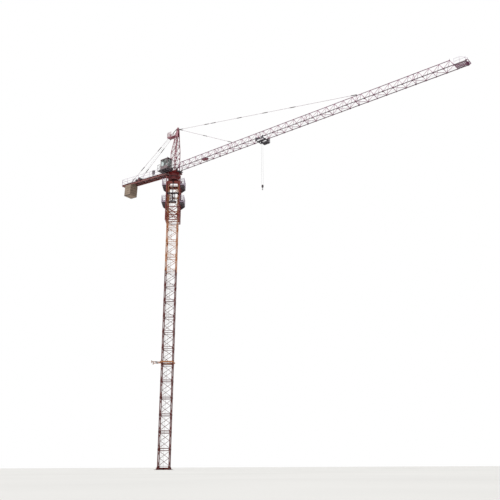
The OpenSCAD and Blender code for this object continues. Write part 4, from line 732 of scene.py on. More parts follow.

# Node plates under the lower chords, one at every bay, where the braces are welded on: 10 mm plate
# with its lower corners cut. They and the lower chords have a darker copy of the jib's plum enamel:
# painted shade under the jib.
plate_drop = 0.065
node_plate = slab((-0.055, -0.005, -plate_drop), (0.055, 0.005, -0.018), 0.001)
node_plate = narrowed(
    node_plate, lambda centre, normal: normal.z < -0.9, (0.55, 1.0, 1.0), (0.0, 0.0, -plate_drop))
# Painted shade: the plum enamel made darker, with its own streaks and rust, for the lower chords and node
# plates.
shaded_plum = enamel("plum_enamel_painted_shade", "3c1a28", "5c3848", "220e17", "4a2a1e", 0.40)
coat(shaded_plum, "jib_bottom_chords")
node_places = [move(jib_start + i * bay, side * jib_half, jib_z)
               for i in range(bays + 1) for side in (-1, 1)]
fixed(set_out("jib_node_plates", node_plate, node_places), "upperworks", shaded_plum)

# Couplings between the jib's sections: forged eye plates on each chord, held by double pins.
# Blackened steel, oiled like the leg bolts.
coupling_half = 0.085
pin_offset = 0.045


def coupling(side, inner, outer, low, high):
    """An eye plate on one face of a chord, with its two pins."""
    near, far = sorted((side * inner, side * outer))
    plate = slab((-coupling_half, near, low), (coupling_half, far, high), 0.002)
    middle = (low + high) / 2
    pins = [axle(x, middle, near - 0.006, far + 0.006, 0.0085, 12, 0.0015)
            for x in (-pin_offset, pin_offset)]
    return joined("coupling", plate, *pins)


chord_plates = [coupling(side, 0.262, 0.2715, jib_z - 0.019, jib_z + 0.019) for side in (-1, 1)]
top_plates = [coupling(side, 0.0235, 0.031, top_z - 0.006, top_z + 0.018) for side in (-1, 1)]
section_joint = joined("section_joint", *chord_plates, *top_plates)
section_places = [move(jib_start + k * bay, 0, 0) for k in range(6, bays - 1, 6)]
fixed(set_out("jib_couplings", section_joint, section_places), "upperworks", black_steel)

# Tip of the jib: welded steel mesh over the slats of its last bay, for the rigger to stand on, in
# the jib's own paint and worn by boots.
tip_x = jib_start + (bays - 1) * bay
tip_mesh = panel(0.690, 0.520, 0.026, 0.0035)
tip_place = move(tip_x + 0.007, -0.260, jib_z + 0.0275) @ spin(-math.pi / 2, "X")
mesh_plum = oiled_steel("plum_painted_mesh_wire", "43202f", "6d475a", 0.5)
fixed(joined("tip_mesh", tip_mesh), "upperworks", mesh_plum, tip_place)
coat(pale, "tip_rails")

# Root pins of the jib and the counter-jib: turned steel, greased, each held in by a keeper plate
# that two screws fix to the ear beside it.
tail_x, girder_y, tail_z = -0.575, 0.310, 23.970


def outward(x, y, z, side=1):
    """The place of a bolt whose head faces +Y, or -Y for side -1."""
    return move(x, y, z) @ spin(-side * math.pi / 2, "X")


coat(black_steel, "root_pins")
keeper = slab((-0.030, 0, 0.0125), (0.030, 0.004, 0.030), 0.001)
keeper_screws = set_out("keeper_screws", hex_bolt(0.003, 0.004), [
    outward(x, 0.004, 0.022) for x in (-0.021, 0.021)])
keeper = joined("keeper", keeper, keeper_screws)
keeper_places = [
    about(turn, x * math.cos(turn), y + 0.025, z)
    for x, y, z in ((0.575, jib_half, jib_z), (tail_x, girder_y, tail_z)) for turn in (0.0, math.pi)]
fixed(set_out("pin_keepers", keeper, keeper_places), "upperworks", zinc)

# Pendants and counter-jib ties: forged bars with an eye at each end, joined by pairs of link plates.
# The bars carry the jib's plum; the links are bare forged steel gone brown-black.
coat(plum, "inner_pendant", "outer_pendant", "counter_jib_ties")
forged = oiled_steel("weathered_forged_steel", "2a2224", "4d3f3e", 0.46)
coat(forged, "pendant_links")

# Pins of the links: a washer and a split pin at each end of every pin, which hold it in its eye.
# Galvanised steel.
link_l = 0.420
apex = (0.405, 0.0, 27.955)
tail_slope = math.radians(3.5)
tail_turn = move(tail_x, 0, tail_z) @ spin(tail_slope, "Y")
tie_d = 4.3856
narrow, wide = 0.0115, 0.0205
link_plate = 0.008
stays = [(apex, (17.536, 0.0, 24.803), (0.185, 0.228, 0.388, 0.537, 0.687), narrow),
         (apex, (6.272, 0.0, 24.803), (0.512,), wide)]
for side in (-1, 1):
    stays.append(((0.150, side * 0.105, 28.000), tail_turn @ Vector((-tie_d, side * girder_y, 0.170)),
                  (0.37, 0.75), narrow))


def pin_dressing(half):
    """Washers and split pins at both ends of a link's pin, along Y."""
    face = half + link_plate
    made = []
    for side in (-1, 1):
        made.append(axle(0, 0, side * face, side * (face + 0.003), 0.0185, 12, 0.0008))
        made.append(post(0, side * (face + 0.0052), -0.019, 0.019, 0.0016, 6))
    return joined("pin_dressing", *made)


pin_places = {narrow: [], wide: []}
for start, end, splits, first_half in stays:
    run = Vector(end) - Vector(start)
    line = move(*start) @ spin(math.atan2(run.y, run.x), "Z") @ spin(math.acos(run.z / run.length), "Y")
    firsts = [0.0, link_l]
    others = [f * run.length + s * link_l / 2 for f in splits for s in (-1, 1)]
    others += [run.length - link_l, run.length]
    pin_places[first_half] += [line @ move(0, 0, z) for z in firsts]
    pin_places[narrow] += [line @ move(0, 0, z) for z in others]
dressings = [set_out("pins", pin_dressing(half), places) for half, places in pin_places.items()]
fixed(joined("link_pins", *dressings), "upperworks", zinc)

# Wire rope: the hoist rope from the winch over the head to the jib's tip. Drawn steel wire laid in
# strands and dressed with black grease. The real lay is 50 mm long, drawn as slanted bands.


def laid_rope(name, wire_tone, grease):
    """Laid wire rope: light wires and dark grease in bands, with the strands raised."""
    m, place = blank(name)
    lay = add(m, "TexWave", {"bands_direction": "DIAGONAL", "Scale": 40.0, "Distortion": 0.5}, Vector=place)
    tone = grade(m, lay.outputs["Fac"], [(0.25, grease), (0.75, wire_tone)])
    strands = add(m, "Bump", {"Strength": 0.6, "Distance": 0.001}, Height=lay.outputs["Fac"])
    dull = add(m, "MapRange", {"To Min": 0.55, "To Max": 0.35}, Value=lay.outputs["Fac"])
    return finish_with(m, add(
        m, "BsdfPrincipled", {"Metallic": 0.8}, Base_Color=tone, Roughness=dull, Normal=strands))


rope = laid_rope("greased_wire_rope", "5c5a5e", "262428")
coat(rope, "hoist_rope")


def windings(centre, r, reach, thick, sides):
    """Turns of rope side by side on a drum whose axis is Y."""
    bpy.ops.object.select_all(action="DESELECT")
    bpy.ops.mesh.primitive_torus_add(
        major_radius=r + thick * 0.8, minor_radius=thick, major_segments=sides, minor_segments=6,
        rotation=(math.pi / 2, 0, 0))
    turn = placed()
    bpy.ops.object.shade_smooth()
    step = 2.05 * thick
    count = int(2 * reach / step)
    return set_out("windings", turn, [
        move(centre[0], (i - (count - 1) / 2) * step, centre[1]) for i in range(count)])


def motor_fins(start, end, r, count, height=0.014):
    """Cooling fins standing out round a motor whose axis is X, Y or Z."""
    run = Vector(end) - Vector(start)
    rib = slab((r - 0.002, -0.0015, 0), (r + height, 0.0015, run.length), 0.0005)
    line = move(*start) @ run.to_track_quat("Z", "Y").to_matrix().to_4x4()
    return set_out("fins", rib, [line @ spin(2 * math.pi * i / count, "Z") for i in range(count)])


# Trolley winch on the jib's floor: a plate frame with a grooved drum, a worm gearbox, a finned motor
# and its switch box. Deep red machine enamel over castings. Its parts are shaped at the origin.
winch_at = move(3.210, 0, jib_z + 0.010)
drum_x, drum_z = 0.130, 0.092
worm_y, worm_z = 0.075, 0.085
coat(deep_red, "trolley_winch")
small_turns = windings((drum_x, drum_z), 0.060, 0.086, 0.003, 28)
fixed(joined("trolley_rope_turns", small_turns), "upperworks", rope, winch_at)
trolley_fins = motor_fins((0.352, worm_y, worm_z), (0.470, worm_y, worm_z), 0.048, 24, 0.011)
trolley_cowl = round_bar((0.475, worm_y, worm_z), (0.512, worm_y, worm_z), 0.056, 24, 0.008)
gear_cap = axle(0.295, worm_z, 0.138, 0.149, 0.042, 20, 0.002)
gear_ribs = [slab((x, 0.012, 0.155), (x + 0.006, 0.138, 0.172), 0.001) for x in (0.244, 0.274, 0.304, 0.334)]
box_lid = slab((0.246, -0.134, 0.126), (0.434, -0.016, 0.134), 0.002)
box_door = slab((0.262, -0.135, 0.022), (0.418, -0.129, 0.114), 0.003)
hangers = [post(0.268, -0.136, z - 0.008, z + 0.008, 0.003, 8) for z in (0.040, 0.096)]
winch_fittings = joined("trolley_winch_fittings", trolley_fins, trolley_cowl, gear_cap, *gear_ribs,
                        box_lid, box_door, *hangers)
fixed(winch_fittings, "upperworks", cylinder_coat, winch_at)
floor_screws = set_out("floor_screws", hex_bolt(0.005, 0.008), [
    move(x, y, 0.014) for x in (0.02, 0.26, 0.50) for y in (-0.165, 0.165)])
bearing_screws = set_out("bearing_screws", hex_bolt(0.004, 0.006), [
    outward(drum_x + 0.032 * math.cos(a), side * 0.116, drum_z + 0.032 * math.sin(a), side)
    for side in (-1, 1) for a in corners])
winch_screws = joined("trolley_winch_screws", floor_screws, bearing_screws)
fixed(winch_screws, "upperworks", zinc, winch_at)

# Counter-jib: two rolled girders with cross members and flat bracing, rising a little towards its
# end. Red enamel older than the head's, bleached on the flanges and dark under them.
faded = enamel("bleached_oxide_red_enamel", "6b2322", "96605c", "380e0c", "4a2418", 0.5)
coat(faded, "counter_jib_girders")
coat(tread, "counter_jib_deck")
coat(pale, "counter_jib_rails")
weight_d = 4.4006
girder_d = [0.05 + (i + 0.5) * (weight_d - 0.05) / 6 for i in range(6)]


def on_girders(distances):
    """Places on the outer webs of both girders, at distances from the counter-jib's root."""
    return [tail_turn @ move(-d, side * girder_y, 0) @ spin(0 if side > 0 else math.pi, "Z")
            for d in distances for side in (-1, 1)]


web_rib = slab((-0.003, 0.0035, -0.0605), (0.003, 0.029, 0.0605), 0.0008)
girder_ribs = set_out("girder_ribs", web_rib, on_girders(girder_d + [2.02, 2.12, 5.2, 5.5]))
fixed(girder_ribs, "upperworks", faded)

# Splice of the girders: a cover plate on each web with twelve bolts, painted over with the girders
# when they were put together.
splice_d = 2.070
cover = slab((-0.110, 0.004, -0.050), (0.110, 0.010, 0.050), 0.001)
cover_bolts = set_out("cover_bolts", hex_bolt(0.005, 0.006), [
    outward(x, 0.010, z) for x in (-0.090, -0.065, -0.028, 0.028, 0.065, 0.090) for z in (-0.028, 0.028)])
splice = joined("splice", cover, cover_bolts)
fixed(set_out("girder_splices", splice, on_girders([splice_d])), "upperworks", faded)

# Counterweight: five concrete blocks hung between the girders on steel bars, cast in steel forms.
# Grey-brown concrete with cement skin, pores, pour lines and black runs of rain from the top.


def cast_concrete(name, skin, sand, run_down):
    """Pores are 4 mm wide, pour lines 0.25 m apart and rain runs 60 mm wide."""
    m, place = blank(name)
    cloud = add(m, "TexNoise", {"Scale": 6.0, "Detail": 8.0, "Roughness": 0.68}, Vector=place)
    tone = grade(m, cloud, [(0.32, skin), (0.68, sand)])
    pours = add(m, "TexWave", {"bands_direction": "Z", "Scale": 1.25, "Distortion": 2.5, "Detail": 3.0},
                Vector=place)
    seam = grade(m, pours.outputs["Fac"], [(0.0, 0.45), (0.12, 0.0)])
    poured = add(m, "MixRGB", {"Color2": linear(run_down)}, Fac=seam, Color1=tone)
    drawn = add(m, "Mapping", {"Scale": (17.0, 17.0, 1.2)}, Vector=place)
    runs = add(m, "TexNoise", {"Detail": 5.0, "Roughness": 0.62}, Vector=drawn)
    wet = grade(m, runs, [(0.52, 0.0), (0.72, 0.8)])
    streaked = add(m, "MixRGB", {"Color2": linear(run_down)}, Fac=wet, Color1=poured)
    pores = add(m, "TexVoronoi", {"Scale": 120.0}, Vector=place)
    holes = grade(m, pores, [(0.12, 0.0), (0.22, 1.0)])
    grain = add(m, "Bump", {"Strength": 0.5, "Distance": 0.002}, Height=holes)
    rough = add(m, "Bump", {"Strength": 0.4, "Distance": 0.004}, Height=cloud, Normal=grain)
    return finish_with(m, add(m, "BsdfPrincipled", {"Roughness": 0.92}, Base_Color=streaked, Normal=rough))


concrete = cast_concrete("cast_concrete", "a08d7b", "857566", "4b4037")
coat(concrete, "counterweights")
coat(black_steel, "counterweight_bars")
block_t = 0.150
block_d = [weight_d + (i + 0.5) * block_t for i in range(5)]
loop_points = [(0, -0.035, 0.120), (0, -0.035, 0.190), (0, 0.035, 0.190), (0, 0.035, 0.120)]
loop_places = [tail_turn @ move(-d, y, 0) for d in block_d for y in (-0.15, 0.15)]
loops = set_out("lifting_loops", pipe("loop", loop_points, 0.006, 0.03), loop_places)
fixed(loops, "upperworks", forged)
cap_places = [tail_turn @ outward(-d, side * 0.338, 0.088, side) for d in block_d for side in (-1, 1)]
bar_nuts = set_out("block_bar_nuts", hex_bolt(0.014, 0.004), cap_places)
fixed(bar_nuts, "upperworks", zinc)

# Cast-in edge angles at the foot of each block, which keep its arris whole when it is set down.
# Rolled steel angle, bare and brown.
edge_angles = []
for side in (-1, 1):
    upright_y = sorted((side * 0.413, side * 0.410))
    flat_y = sorted((side * 0.413, side * 0.370))
    edge_angles.append(slab((-0.0725, upright_y[0], -1.084), (0.0725, upright_y[1], -1.040), 0.0005))
    edge_angles.append(slab((-0.0725, flat_y[0], -1.0845), (0.0725, flat_y[1], -1.0815), 0.0005))
angles = set_out("block_edge_angles", joined("edge_angle", *edge_angles), [
    tail_turn @ move(-d, 0, 0) for d in block_d])
fixed(angles, "upperworks", forged)

# Hoist winch: drum in plate cheeks, helical gearbox and a finned motor with its brake, all on a skid.
# Castings and plate under the slewing unit's red. Its parts are shaped over the root pins' level.
hoist_at = tail_turn @ move(-3.6706, 0, 0)
hoist_z = 0.321
fan_x, fan_z = -0.400, hoist_z - 0.030
gear_side = 0.260
coat(deep_red, "hoist_winch")
coat(bright_iron, "winch_drum")
big_turns = windings((0, hoist_z), 0.140, 0.146, 0.004, 36)
fixed(joined("hoist_rope_turns", big_turns), "upperworks", rope, hoist_at)
hoist_fins = motor_fins((fan_x, -0.050, fan_z), (fan_x, 0.150, fan_z), 0.105, 36, 0.016)
fan_cowl = axle(fan_x, fan_z, -0.145, -0.080, 0.114, 32, 0.012)
fan_grille = [axle(fan_x, fan_z, -0.147, -0.144, r, 24, 0.001) for r in (0.085, 0.055, 0.025)]
brake = axle(fan_x, fan_z, 0.150, 0.190, 0.118, 32, 0.006)
terminals = slab((fan_x - 0.045, -0.010, fan_z + 0.095), (fan_x + 0.045, 0.100, fan_z + 0.155), 0.005)
bearing_caps = [axle(x, z, gear_side - 0.002, gear_side + 0.010, r, 24, 0.002)
                for x, z, r in ((0, 0.250, 0.070), (-0.20, 0.240, 0.050), (fan_x, 0.270, 0.055))]
gear_flange = slab((-0.526, 0.190, 0.243), (0.106, 0.264, 0.257), 0.003)
gear_feet = [slab((x, 0.186, 0.122), (x + 0.060, 0.268, 0.140), 0.002) for x in (-0.50, 0.02)]
hoist_parts = joined("hoist_fittings", hoist_fins, fan_cowl, *fan_grille, brake, terminals, *bearing_caps,
                     gear_flange, *gear_feet)
fixed(hoist_parts, "upperworks", cylinder_coat, hoist_at)
gear_bolts = set_out("gear_bolts", hex_bolt(0.004, 0.008), [
    move(-0.50 + 0.10 * i, y, 0.257) for i in range(7) for y in (0.195, 0.259)])
skid_bolts = set_out("skid_bolts", hex_bolt(0.006, 0.010), [
    move(x, y, 0.136) for x in (-0.55, -0.15, 0.19) for y in (-0.170, 0.160)])
fixed(joined("hoist_bolts", gear_bolts, skid_bolts), "upperworks", zinc, hoist_at)

# Electric cabinet beside the winch: folded steel sheet, two doors towards the walkway, vents in its
# back and a rain roof. Grey machine enamel. Its parts are shaped from its lower front corner.
cabinet_grey = enamel("grey_cabinet_enamel", "5e5a5c", "777275", "36322f", "5a3a2a", 0.4)
coat(cabinet_grey, "electric_box")
box_at = tail_turn @ move(-1.850, -0.200, 0.316)
box_l, box_w, box_h = 0.200, 0.140, 0.320
doors = [slab((x, -0.001, 0.012), (x + 0.090, 0.006, box_h - 0.020), 0.002) for x in (0.006, 0.104)]
rain_roof = slab((-0.010, -box_w - 0.010, box_h - 0.003), (box_l + 0.010, 0.020, box_h + 0.006), 0.002)
hinges = [post(x, 0.006, z - 0.012, z + 0.012, 0.004, 8)
          for x in (0.005, box_l - 0.005) for z in (0.06, box_h - 0.07)]
handle = slab((0.086, 0.004, 0.139), (0.092, 0.016, 0.189), 0.002)
louvre = slab((-0.040, -0.005, 0), (0.040, 0.0, 0.004), 0.0005)
pick(louvre, lambda centre, normal: normal.y < -0.9)
bpy.ops.transform.translate(value=(0, 0, -0.005))
louvres = set_out("louvres", placed(), [
    move(box_l / 2, 0.001 - box_w, 0.05 + 0.014 * i) for i in range(8)])
cable_glands = [post(0.03 + 0.035 * i, -0.070, -0.016, 0.002, 0.008, 6, 0.001) for i in range(5)]
cabinet = joined("cabinet_fittings", *doors, rain_roof, *hinges, handle, louvres, *cable_glands)
fixed(cabinet, "upperworks", cabinet_grey, box_at)

# Cab: folded steel sheet on a square tube frame, hung beside the slewing deck, with large panes.
# Taupe enamel, dusty below and streaked under the roof. Its parts are shaped from its lower corner.
cab_at = move(-0.625, -1.065, 24.000)
cab_l, cab_w, cab_h = 0.800, 0.540, 0.900
sill, pane_top = 0.300, 0.830
cab_coat = enamel("dusty_taupe_enamel", "59474a", "7b686c", "2f2427", "4a3226", 0.40)
coat(cab_coat, "cab_shell")
coat(tread, "cab_platform")


def float_glass(name, tint):
    """Toughened float glass, 6 mm: nearly clear, wiped but not clean."""
    m, place = blank(name)
    dust = add(m, "TexNoise", {"Scale": 9.0, "Detail": 5.0}, Vector=place)
    film = add(m, "MapRange", {"From Min": 0.4, "From Max": 0.8, "To Min": 0.02, "To Max": 0.14}, Value=dust)
    clear = {"Base Color": linear(tint), "Transmission Weight": 1.0, "IOR": 1.52}
    return finish_with(m, add(m, "BsdfPrincipled", clear, Roughness=film))


glass = float_glass("toughened_float_glass", "e6edec")
coat(glass, "cab_windows")

# Seals round the panes: a moulded black rubber profile, pressed over the edge of each opening and
# met at the corners.
seal_w = 0.012


def moulded(name, tone, dusty, rough):
    """Moulded rubber, plastic or board: one even tone with a fine grain of 1 mm and dust in it."""
    m, place = blank(name)
    dust = add(m, "TexNoise", {"Scale": 14.0, "Detail": 5.0}, Vector=place)
    colour = grade(m, dust, [(0.4, tone), (0.75, dusty)])
    grain = add(m, "TexNoise", {"Scale": 900.0, "Detail": 1.0}, Vector=place)
    skin = add(m, "Bump", {"Strength": 0.2, "Distance": 0.0004}, Height=grain)
    return finish_with(m, add(m, "BsdfPrincipled", {"Roughness": rough}, Base_Color=colour, Normal=skin))


rubber = moulded("moulded_rubber", "18171a", "343135", 0.62)


def seal(axis, face, low, high):
    """A seal on a wall: axis 0 for a wall across X, 1 for one across Y; low and high are the
    pane's corners on it."""
    reach = (face - 0.006, face + 0.004) if face > 0.1 else (face - 0.004, face + 0.006)
    strips = []
    for a, b in (((low[0] - seal_w, low[1] - seal_w), (high[0] + seal_w, low[1])),
                 ((low[0] - seal_w, high[1]), (high[0] + seal_w, high[1] + seal_w)),
                 ((low[0] - seal_w, low[1] - 0.001), (low[0], high[1] + 0.001)),
                 ((high[0], low[1] - 0.001), (high[0] + seal_w, high[1] + 0.001))):
        if axis == 0:
            strips.append(slab((reach[0], *a), (reach[1], *b), 0.0015))
        else:
            strips.append(slab((a[0], reach[0], a[1]), (b[0], reach[1], b[1]), 0.0015))
    return strips


side_panes = [(0.080, 0.385), (0.415, 0.720)]
strips = []
for low_x, high_x in side_panes:
    strips += seal(1, 0.0, (low_x, sill), (high_x, pane_top))
strips += seal(1, cab_w, (side_panes[0][0], sill), (side_panes[0][1], pane_top))
strips += seal(0, 0.0, (0.060, sill), (cab_w - 0.060, pane_top))
strips += seal(0, cab_l, (0.060, 0.130), (cab_w - 0.060, pane_top))
fixed(joined("window_seals", *strips), "upperworks", rubber, cab_at)

# Door of the cab, on the side towards the slewing deck: a folded panel with two hinges, a lever
# handle and a grab rail beside it. It stays shut. Pressed ribs stiffen the wall and the roof.
door = slab((0.425, cab_w - 0.001, 0.040), (0.690, cab_w + 0.007, 0.850), 0.006)
pick(door, lambda centre, normal: normal.y > 0.9 and centre.y > cab_w)
bpy.ops.mesh.inset(thickness=0.030, depth=-0.004)
door = placed()
door_hinges = [post(0.694, cab_w + 0.008, z - 0.02, z + 0.02, 0.006, 10, 0.001) for z in (0.16, 0.72)]
lever_y = cab_w + 0.022
lever = pipe("lever", [(0.450, cab_w + 0.004, 0.430), (0.450, lever_y, 0.430), (0.515, lever_y, 0.430)],
             0.005, 0.008)
grab = pipe("grab", [(0.405, cab_w - 0.004, 0.30), (0.405, cab_w + 0.024, 0.30), (0.405, cab_w + 0.024, 0.62),
                     (0.405, cab_w - 0.004, 0.62)], 0.006, 0.015)
ribs_low = [slab((x, -0.003, 0.045), (x + 0.010, 0.001, sill - 0.030), 0.0015)
            for x in (0.13, 0.27, 0.41, 0.55, 0.67)]
roof_ribs = [slab((x, -0.010, cab_h + 0.0135), (x + 0.016, cab_w + 0.010, cab_h + 0.018), 0.0015)
             for x in [0.08 + 0.115 * i for i in range(7)]]
gutter = slab((-0.022, -0.0275, cab_h + 0.004), (cab_l + 0.102, -0.0235, cab_h + 0.018), 0.001)
cab_trim = joined("cab_door_and_trim", door, *door_hinges, lever, grab, *ribs_low, *roof_ribs, gutter)
fixed(cab_trim, "upperworks", cab_coat, cab_at)

# Lining under the cab's roof: a moulded board, pale grey and softly dull, with a raised field,
# clipped to the frame.
edge, lining_low, lining_top = 0.034, 0.842, 0.868
lining = slab((edge, edge, lining_low), (cab_l - edge, cab_w - edge, lining_top), 0.006)
pick(lining, lambda centre, normal: normal.z < -0.9 and centre.z < lining_low + 0.001)
bpy.ops.mesh.inset(thickness=0.050, depth=0.006)
board = moulded("pale_moulded_board", "d2d0cb", "bdbab3", 0.7)
fixed(joined("headliner", placed()), "upperworks", board, cab_at)

# Wiper of the front pane: a bent steel arm from its motor under the pane, and a rubber blade in its
# holder, all black and dusty.
arm = pipe("arm", [(cab_l + 0.004, 0.270, 0.105), (cab_l + 0.016, 0.270, 0.108),
                   (cab_l + 0.014, 0.200, 0.400)], 0.0035, 0.012)
hub = round_bar((cab_l - 0.002, 0.270, 0.105), (cab_l + 0.016, 0.270, 0.105), 0.012, 16, 0.003)
blade = slab((cab_l + 0.003, 0.197, 0.260), (cab_l + 0.013, 0.203, 0.560), 0.001)
fixed(joined("wiper", arm, hub, blade), "upperworks", rubber, cab_at)

# Driver's seat: a pedestal with a rubber bellows and two control boxes with their levers. The boxes
# are moulded plastic and the knobs rubber, all of it black and dusty.
seat_y = cab_w / 2
foot = slab((0.300, seat_y - 0.060, 0.026), (0.420, seat_y + 0.060, 0.040), 0.003)
folds = [slab((0.306 + w, seat_y - 0.054 + w, 0.038 + 0.018 * i),
              (0.414 - w, seat_y + 0.054 - w, 0.058 + 0.018 * i), 0.004)
         for i, w in enumerate([0.0, 0.006] * 4 + [0.0])]
tray = slab((0.235, seat_y - 0.105, 0.204), (0.480, seat_y + 0.105, 0.222), 0.004)
tie_bar = slab((0.310, seat_y - 0.130, 0.110), (0.390, seat_y + 0.130, 0.150), 0.006)
boxes, sticks = [], []
for side in (-1, 1):
    inner, outer = sorted((seat_y + side * 0.118, seat_y + side * 0.168))
    middle = (inner + outer) / 2
    control = slab((0.282, inner, 0.090), (0.478, outer, 0.395), 0.008)
    boxes.append(narrowed(
        control, lambda centre, normal: normal.z < -0.9, (0.6, 0.8, 1.0), (0.360, middle, 0.090)))
    sticks.append(round_bar((0.430, middle, 0.392), (0.438, middle, 0.450), 0.004, 8))
    sticks.append(round_bar((0.437, middle, 0.444), (0.441, middle, 0.474), 0.011, 12, 0.005))
    sticks.append(post(0.430, middle, 0.392, 0.402, 0.017, 16, 0.003))
seat_frame = joined("seat_frame", foot, *folds, tray, tie_bar, *boxes, *sticks)
fixed(seat_frame, "upperworks", rubber, cab_at)
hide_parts("cab_seat")

# Seat cushion and back: foam in a sewn black vinyl cover, blown up by a cloth simulation so that it
# crowns between its edges.


def sewn_vinyl(name, tone, worn):
    """Embossed vinyl; its grain of 2 mm is drawn at 3 mm, and its crown is rubbed lighter."""
    m, place = blank(name)
    cells = add(m, "TexVoronoi", {"Scale": 330.0, "feature": "DISTANCE_TO_EDGE"}, Vector=place)
    grain = add(m, "Bump", {"Strength": 0.35, "Distance": 0.0006}, Height=cells)
    rub = add(m, "TexNoise", {"Scale": 11.0, "Detail": 4.0}, Vector=place)
    colour = grade(m, rub, [(0.4, tone), (0.7, worn)])
    return finish_with(m, add(m, "BsdfPrincipled", {"Roughness": 0.46}, Base_Color=colour, Normal=grain))


vinyl = sewn_vinyl("embossed_vinyl", "1d1b1f", "312d31")


def upholstered(name, low, high, swell):
    """A foam pad between two corners whose cover is blown out by at most swell."""
    pad = slab([a + 0.006 for a in low], [b - 0.006 for b in high], 0.008)
    bpy.ops.object.modifier_add(type="REMESH")
    pad.modifiers[0].mode = "VOXEL"
    pad.modifiers[0].voxel_size = 0.007
    bpy.ops.object.modifier_apply(modifier=pad.modifiers[0].name)
    rest = [v.co.copy() for v in pad.data.vertices]
    bpy.ops.object.modifier_add(type="CLOTH")
    cloth = pad.modifiers[0]
    cloth.settings.use_pressure = True
    cloth.settings.uniform_pressure_force = 4.0
    cloth.settings.effector_weights.gravity = 0.0
    scene = bpy.context.scene
    for step in range(1, 21):
        scene.frame_set(step)
    blown = pad.evaluated_get(bpy.context.evaluated_depsgraph_get())
    moved = [v.co.copy() for v in blown.data.vertices]
    pad.modifiers.remove(cloth)
    scene.frame_set(1)
    for vertex, was, now in zip(pad.data.vertices, rest, moved):
        step = now - was
        vertex.co = was + step * min(1.0, swell / max(step.length, 1e-6))
    bpy.ops.object.modifier_add(type="SUBSURF")
    bpy.ops.object.modifier_apply(modifier=pad.modifiers[0].name)
    bpy.ops.object.shade_smooth()
    return pad


pads = [("seat_cushion", (0.240, seat_y - 0.110, 0.222), (0.480, seat_y + 0.110, 0.275)),
        ("seat_back", (0.220, seat_y - 0.110, 0.262), (0.270, seat_y + 0.110, 0.660))]
for pad_name, low, high in pads:
    pad = upholstered(pad_name, low, high, 0.006)
    pad = joined(pad_name, pad)
    fixed(pad, "upperworks", vinyl, cab_at)

# Trolley: two side plates with wheels on the chord flanges, cross beams that carry the rope sheaves,
# and a basket for one person. Dark, oily steel throughout.
trolley_x = 9.290
trolley_low = 23.910
trolley_side = 0.358
wheel_z = 24.1455
sheave_z = 24.000
oily_black = oiled_steel("oil_blackened_plate", "1d1a1f", "37323a", 0.40)
coat(oily_black, "trolley_frame")
coat(bright_iron, "trolley_wheels")
caps = joined("axle_caps", *[
    axle(x, wheel_z, side * trolley_side, side * (trolley_side + 0.010), 0.020, 16, 0.003)
    for x in (-0.320, 0.320) for side in (-1, 1)])
fixed(caps, "trolley", greasy, move(trolley_x, 0, 0))
plate_bolts = set_out("plate_bolts", hex_bolt(0.005, 0.008), [
    outward(trolley_x + x, side * trolley_side, trolley_low + z, side)
    for x in (-0.365, -0.335, -0.10, 0.10, 0.335, 0.365) for z in (0.018, 0.044) for side in (-1, 1)])
fixed(plate_bolts, "trolley", zinc)
outer_mesh = panel(0.530, 0.310, mesh_pitch, 0.003)
outer_mesh.data.transform(move(-0.265, 0.684, 0))
end_mesh = set_out("end_mesh", panel(0.325, 0.310, mesh_pitch, 0.003), [
    move(x, trolley_side, 0) @ spin(math.pi / 2, "Z") for x in (-0.262, 0.262)])
basket_mesh = joined("basket_mesh", outer_mesh, end_mesh)
fixed(basket_mesh, "trolley", mesh_wire, move(trolley_x, 0, trolley_low + 0.022))
hubs = joined("sheave_hubs", *[
    axle(trolley_x + x, sheave_z, side * 0.015, side * 0.030, 0.030, 16, 0.003)
    for x in (-0.145, 0.145) for side in (-1, 1)])
fixed(hubs, "trolley", greasy)

# Rope falls: the two parts of the hoist rope that carry the hook block, taut. They shorten as it
# rises, so they are drawn between the trolley's sheaves and the block's.
fall_r = 0.004
block_z = 20.170
falls = joined("rope_fall_pair", *[
    post(trolley_x + x, 0, block_z, sheave_z, fall_r, 12) for x in (-0.075, 0.075)])
falls.data.materials.clear()
falls.data.materials.append(rope)
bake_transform(falls)
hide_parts("rope_falls")

# Hook block: two cheek plates on the sheave's pin, held apart by spacer bars and bolted together.
# Thick plate, painted once and worn black by handling.
cheek_y = 0.040
coat(greasy, "hook_block")
coat(bright_iron, "hook_sheave")
spacer_at = [(-0.052, -0.080), (0.052, -0.080), (0.0, 0.050)]
spacers = [axle(x, z, -cheek_y, cheek_y, 0.006, 10) for x, z in spacer_at[:2]]
heads = set_out("cheek_bolts", hex_bolt(0.006, 0.006), [
    outward(x, side * cheek_y, z, side) for x, z in spacer_at for side in (-1, 1)])
pin_nuts = [axle(0, 0, side * cheek_y, side * (cheek_y + 0.012), 0.021, 6, 0.002) for side in (-1, 1)]
block_fittings = joined("hook_block_bolts", *spacers, heads, *pin_nuts)
fixed(block_fittings, "hook_block", black_steel, move(trolley_x, 0, block_z))

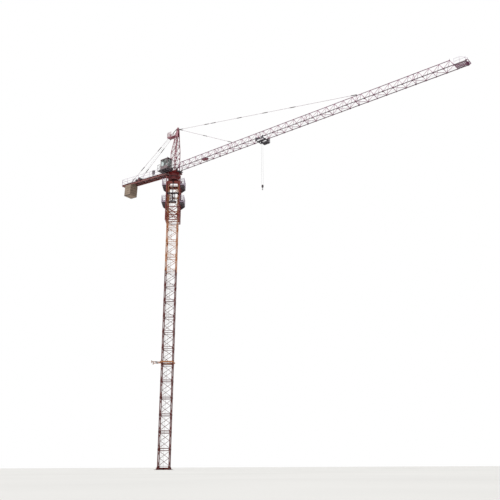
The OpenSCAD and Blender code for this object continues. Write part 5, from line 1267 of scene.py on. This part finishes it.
# Hook: drop-forged steel gone brown-black, turned at its shank. A sprung latch of galvanised steel
# closes its throat, on a pin through two eyes.
coat(forged, "hook")
latch_z = 19.874
latch = slab((-0.0025, -0.010, 0.0), (0.0025, 0.010, 0.062), 0.001)
latch.data.transform(move(0.052, 0, 0) @ spin(math.radians(-38), "Y"))
eyes = [slab((0.006, side * 0.012 - 0.002, 0.036), (0.030, side * 0.012 + 0.002, 0.058), 0.002)
        for side in (-1, 1)]
latch_pin = axle(0.020, 0.047, -0.016, 0.016, 0.003, 8)
latch_set = joined("hook_latch", latch, *eyes, latch_pin)
fixed(latch_set, "hook", zinc, move(trolley_x, 0, latch_z))

# Studio: a wide pale floor under an even white sky, and one soft lamp high to the left of the
# camera. The sky shows white but lights the crane less than it shows.
bpy.ops.object.select_all(action="DESELECT")
bpy.ops.mesh.primitive_circle_add(vertices=64, radius=260.0, fill_type="NGON", location=(0, 0, -0.004))
floor = placed("studio_floor")
floor_paint, floor_place = blank("matt_pale_floor")
mottle = add(floor_paint, "TexNoise", {"Scale": 0.2, "Detail": 3.0}, Vector=floor_place)
floor_tone = grade(floor_paint, mottle, [(0.3, "dcdbd8"), (0.7, "e2e1de")])
finish_with(floor_paint, add(floor_paint, "BsdfPrincipled", {"Roughness": 0.95}, Base_Color=floor_tone))
floor.data.materials.append(floor_paint)

sky = bpy.data.worlds.new("white_sky")
bpy.context.scene.world = sky
sky.use_nodes = True
sky.node_tree.nodes.clear()
seen = add(sky, "LightPath")
white_light = {"Color": (1.0, 1.0, 1.0, 1.0)}
lit = add(sky, "Background", {**white_light, "Strength": 0.42})
shown = add(sky, "Background", {**white_light, "Strength": 1.0})
direct = add(sky, "Math", {"operation": "MAXIMUM"}, [
    seen.outputs["Is Camera Ray"], seen.outputs["Is Glossy Ray"]])
through = add(sky, "Math", {"operation": "MAXIMUM"}, [direct, seen.outputs["Is Transmission Ray"]])
blend = add(sky, "MixShader", feeds=[through, lit, shown])
add(sky, "OutputWorld", Surface=blend)

sun = bpy.data.objects.new("soft_lamp", bpy.data.lights.new("soft_lamp", "SUN"))
bpy.context.scene.collection.objects.link(sun)
sun.data.energy = 2.9
sun.data.angle = math.radians(12)
sun.rotation_euler = (math.radians(44), 0.0, math.radians(-38))
bpy.context.scene.view_settings.view_transform = "Standard"
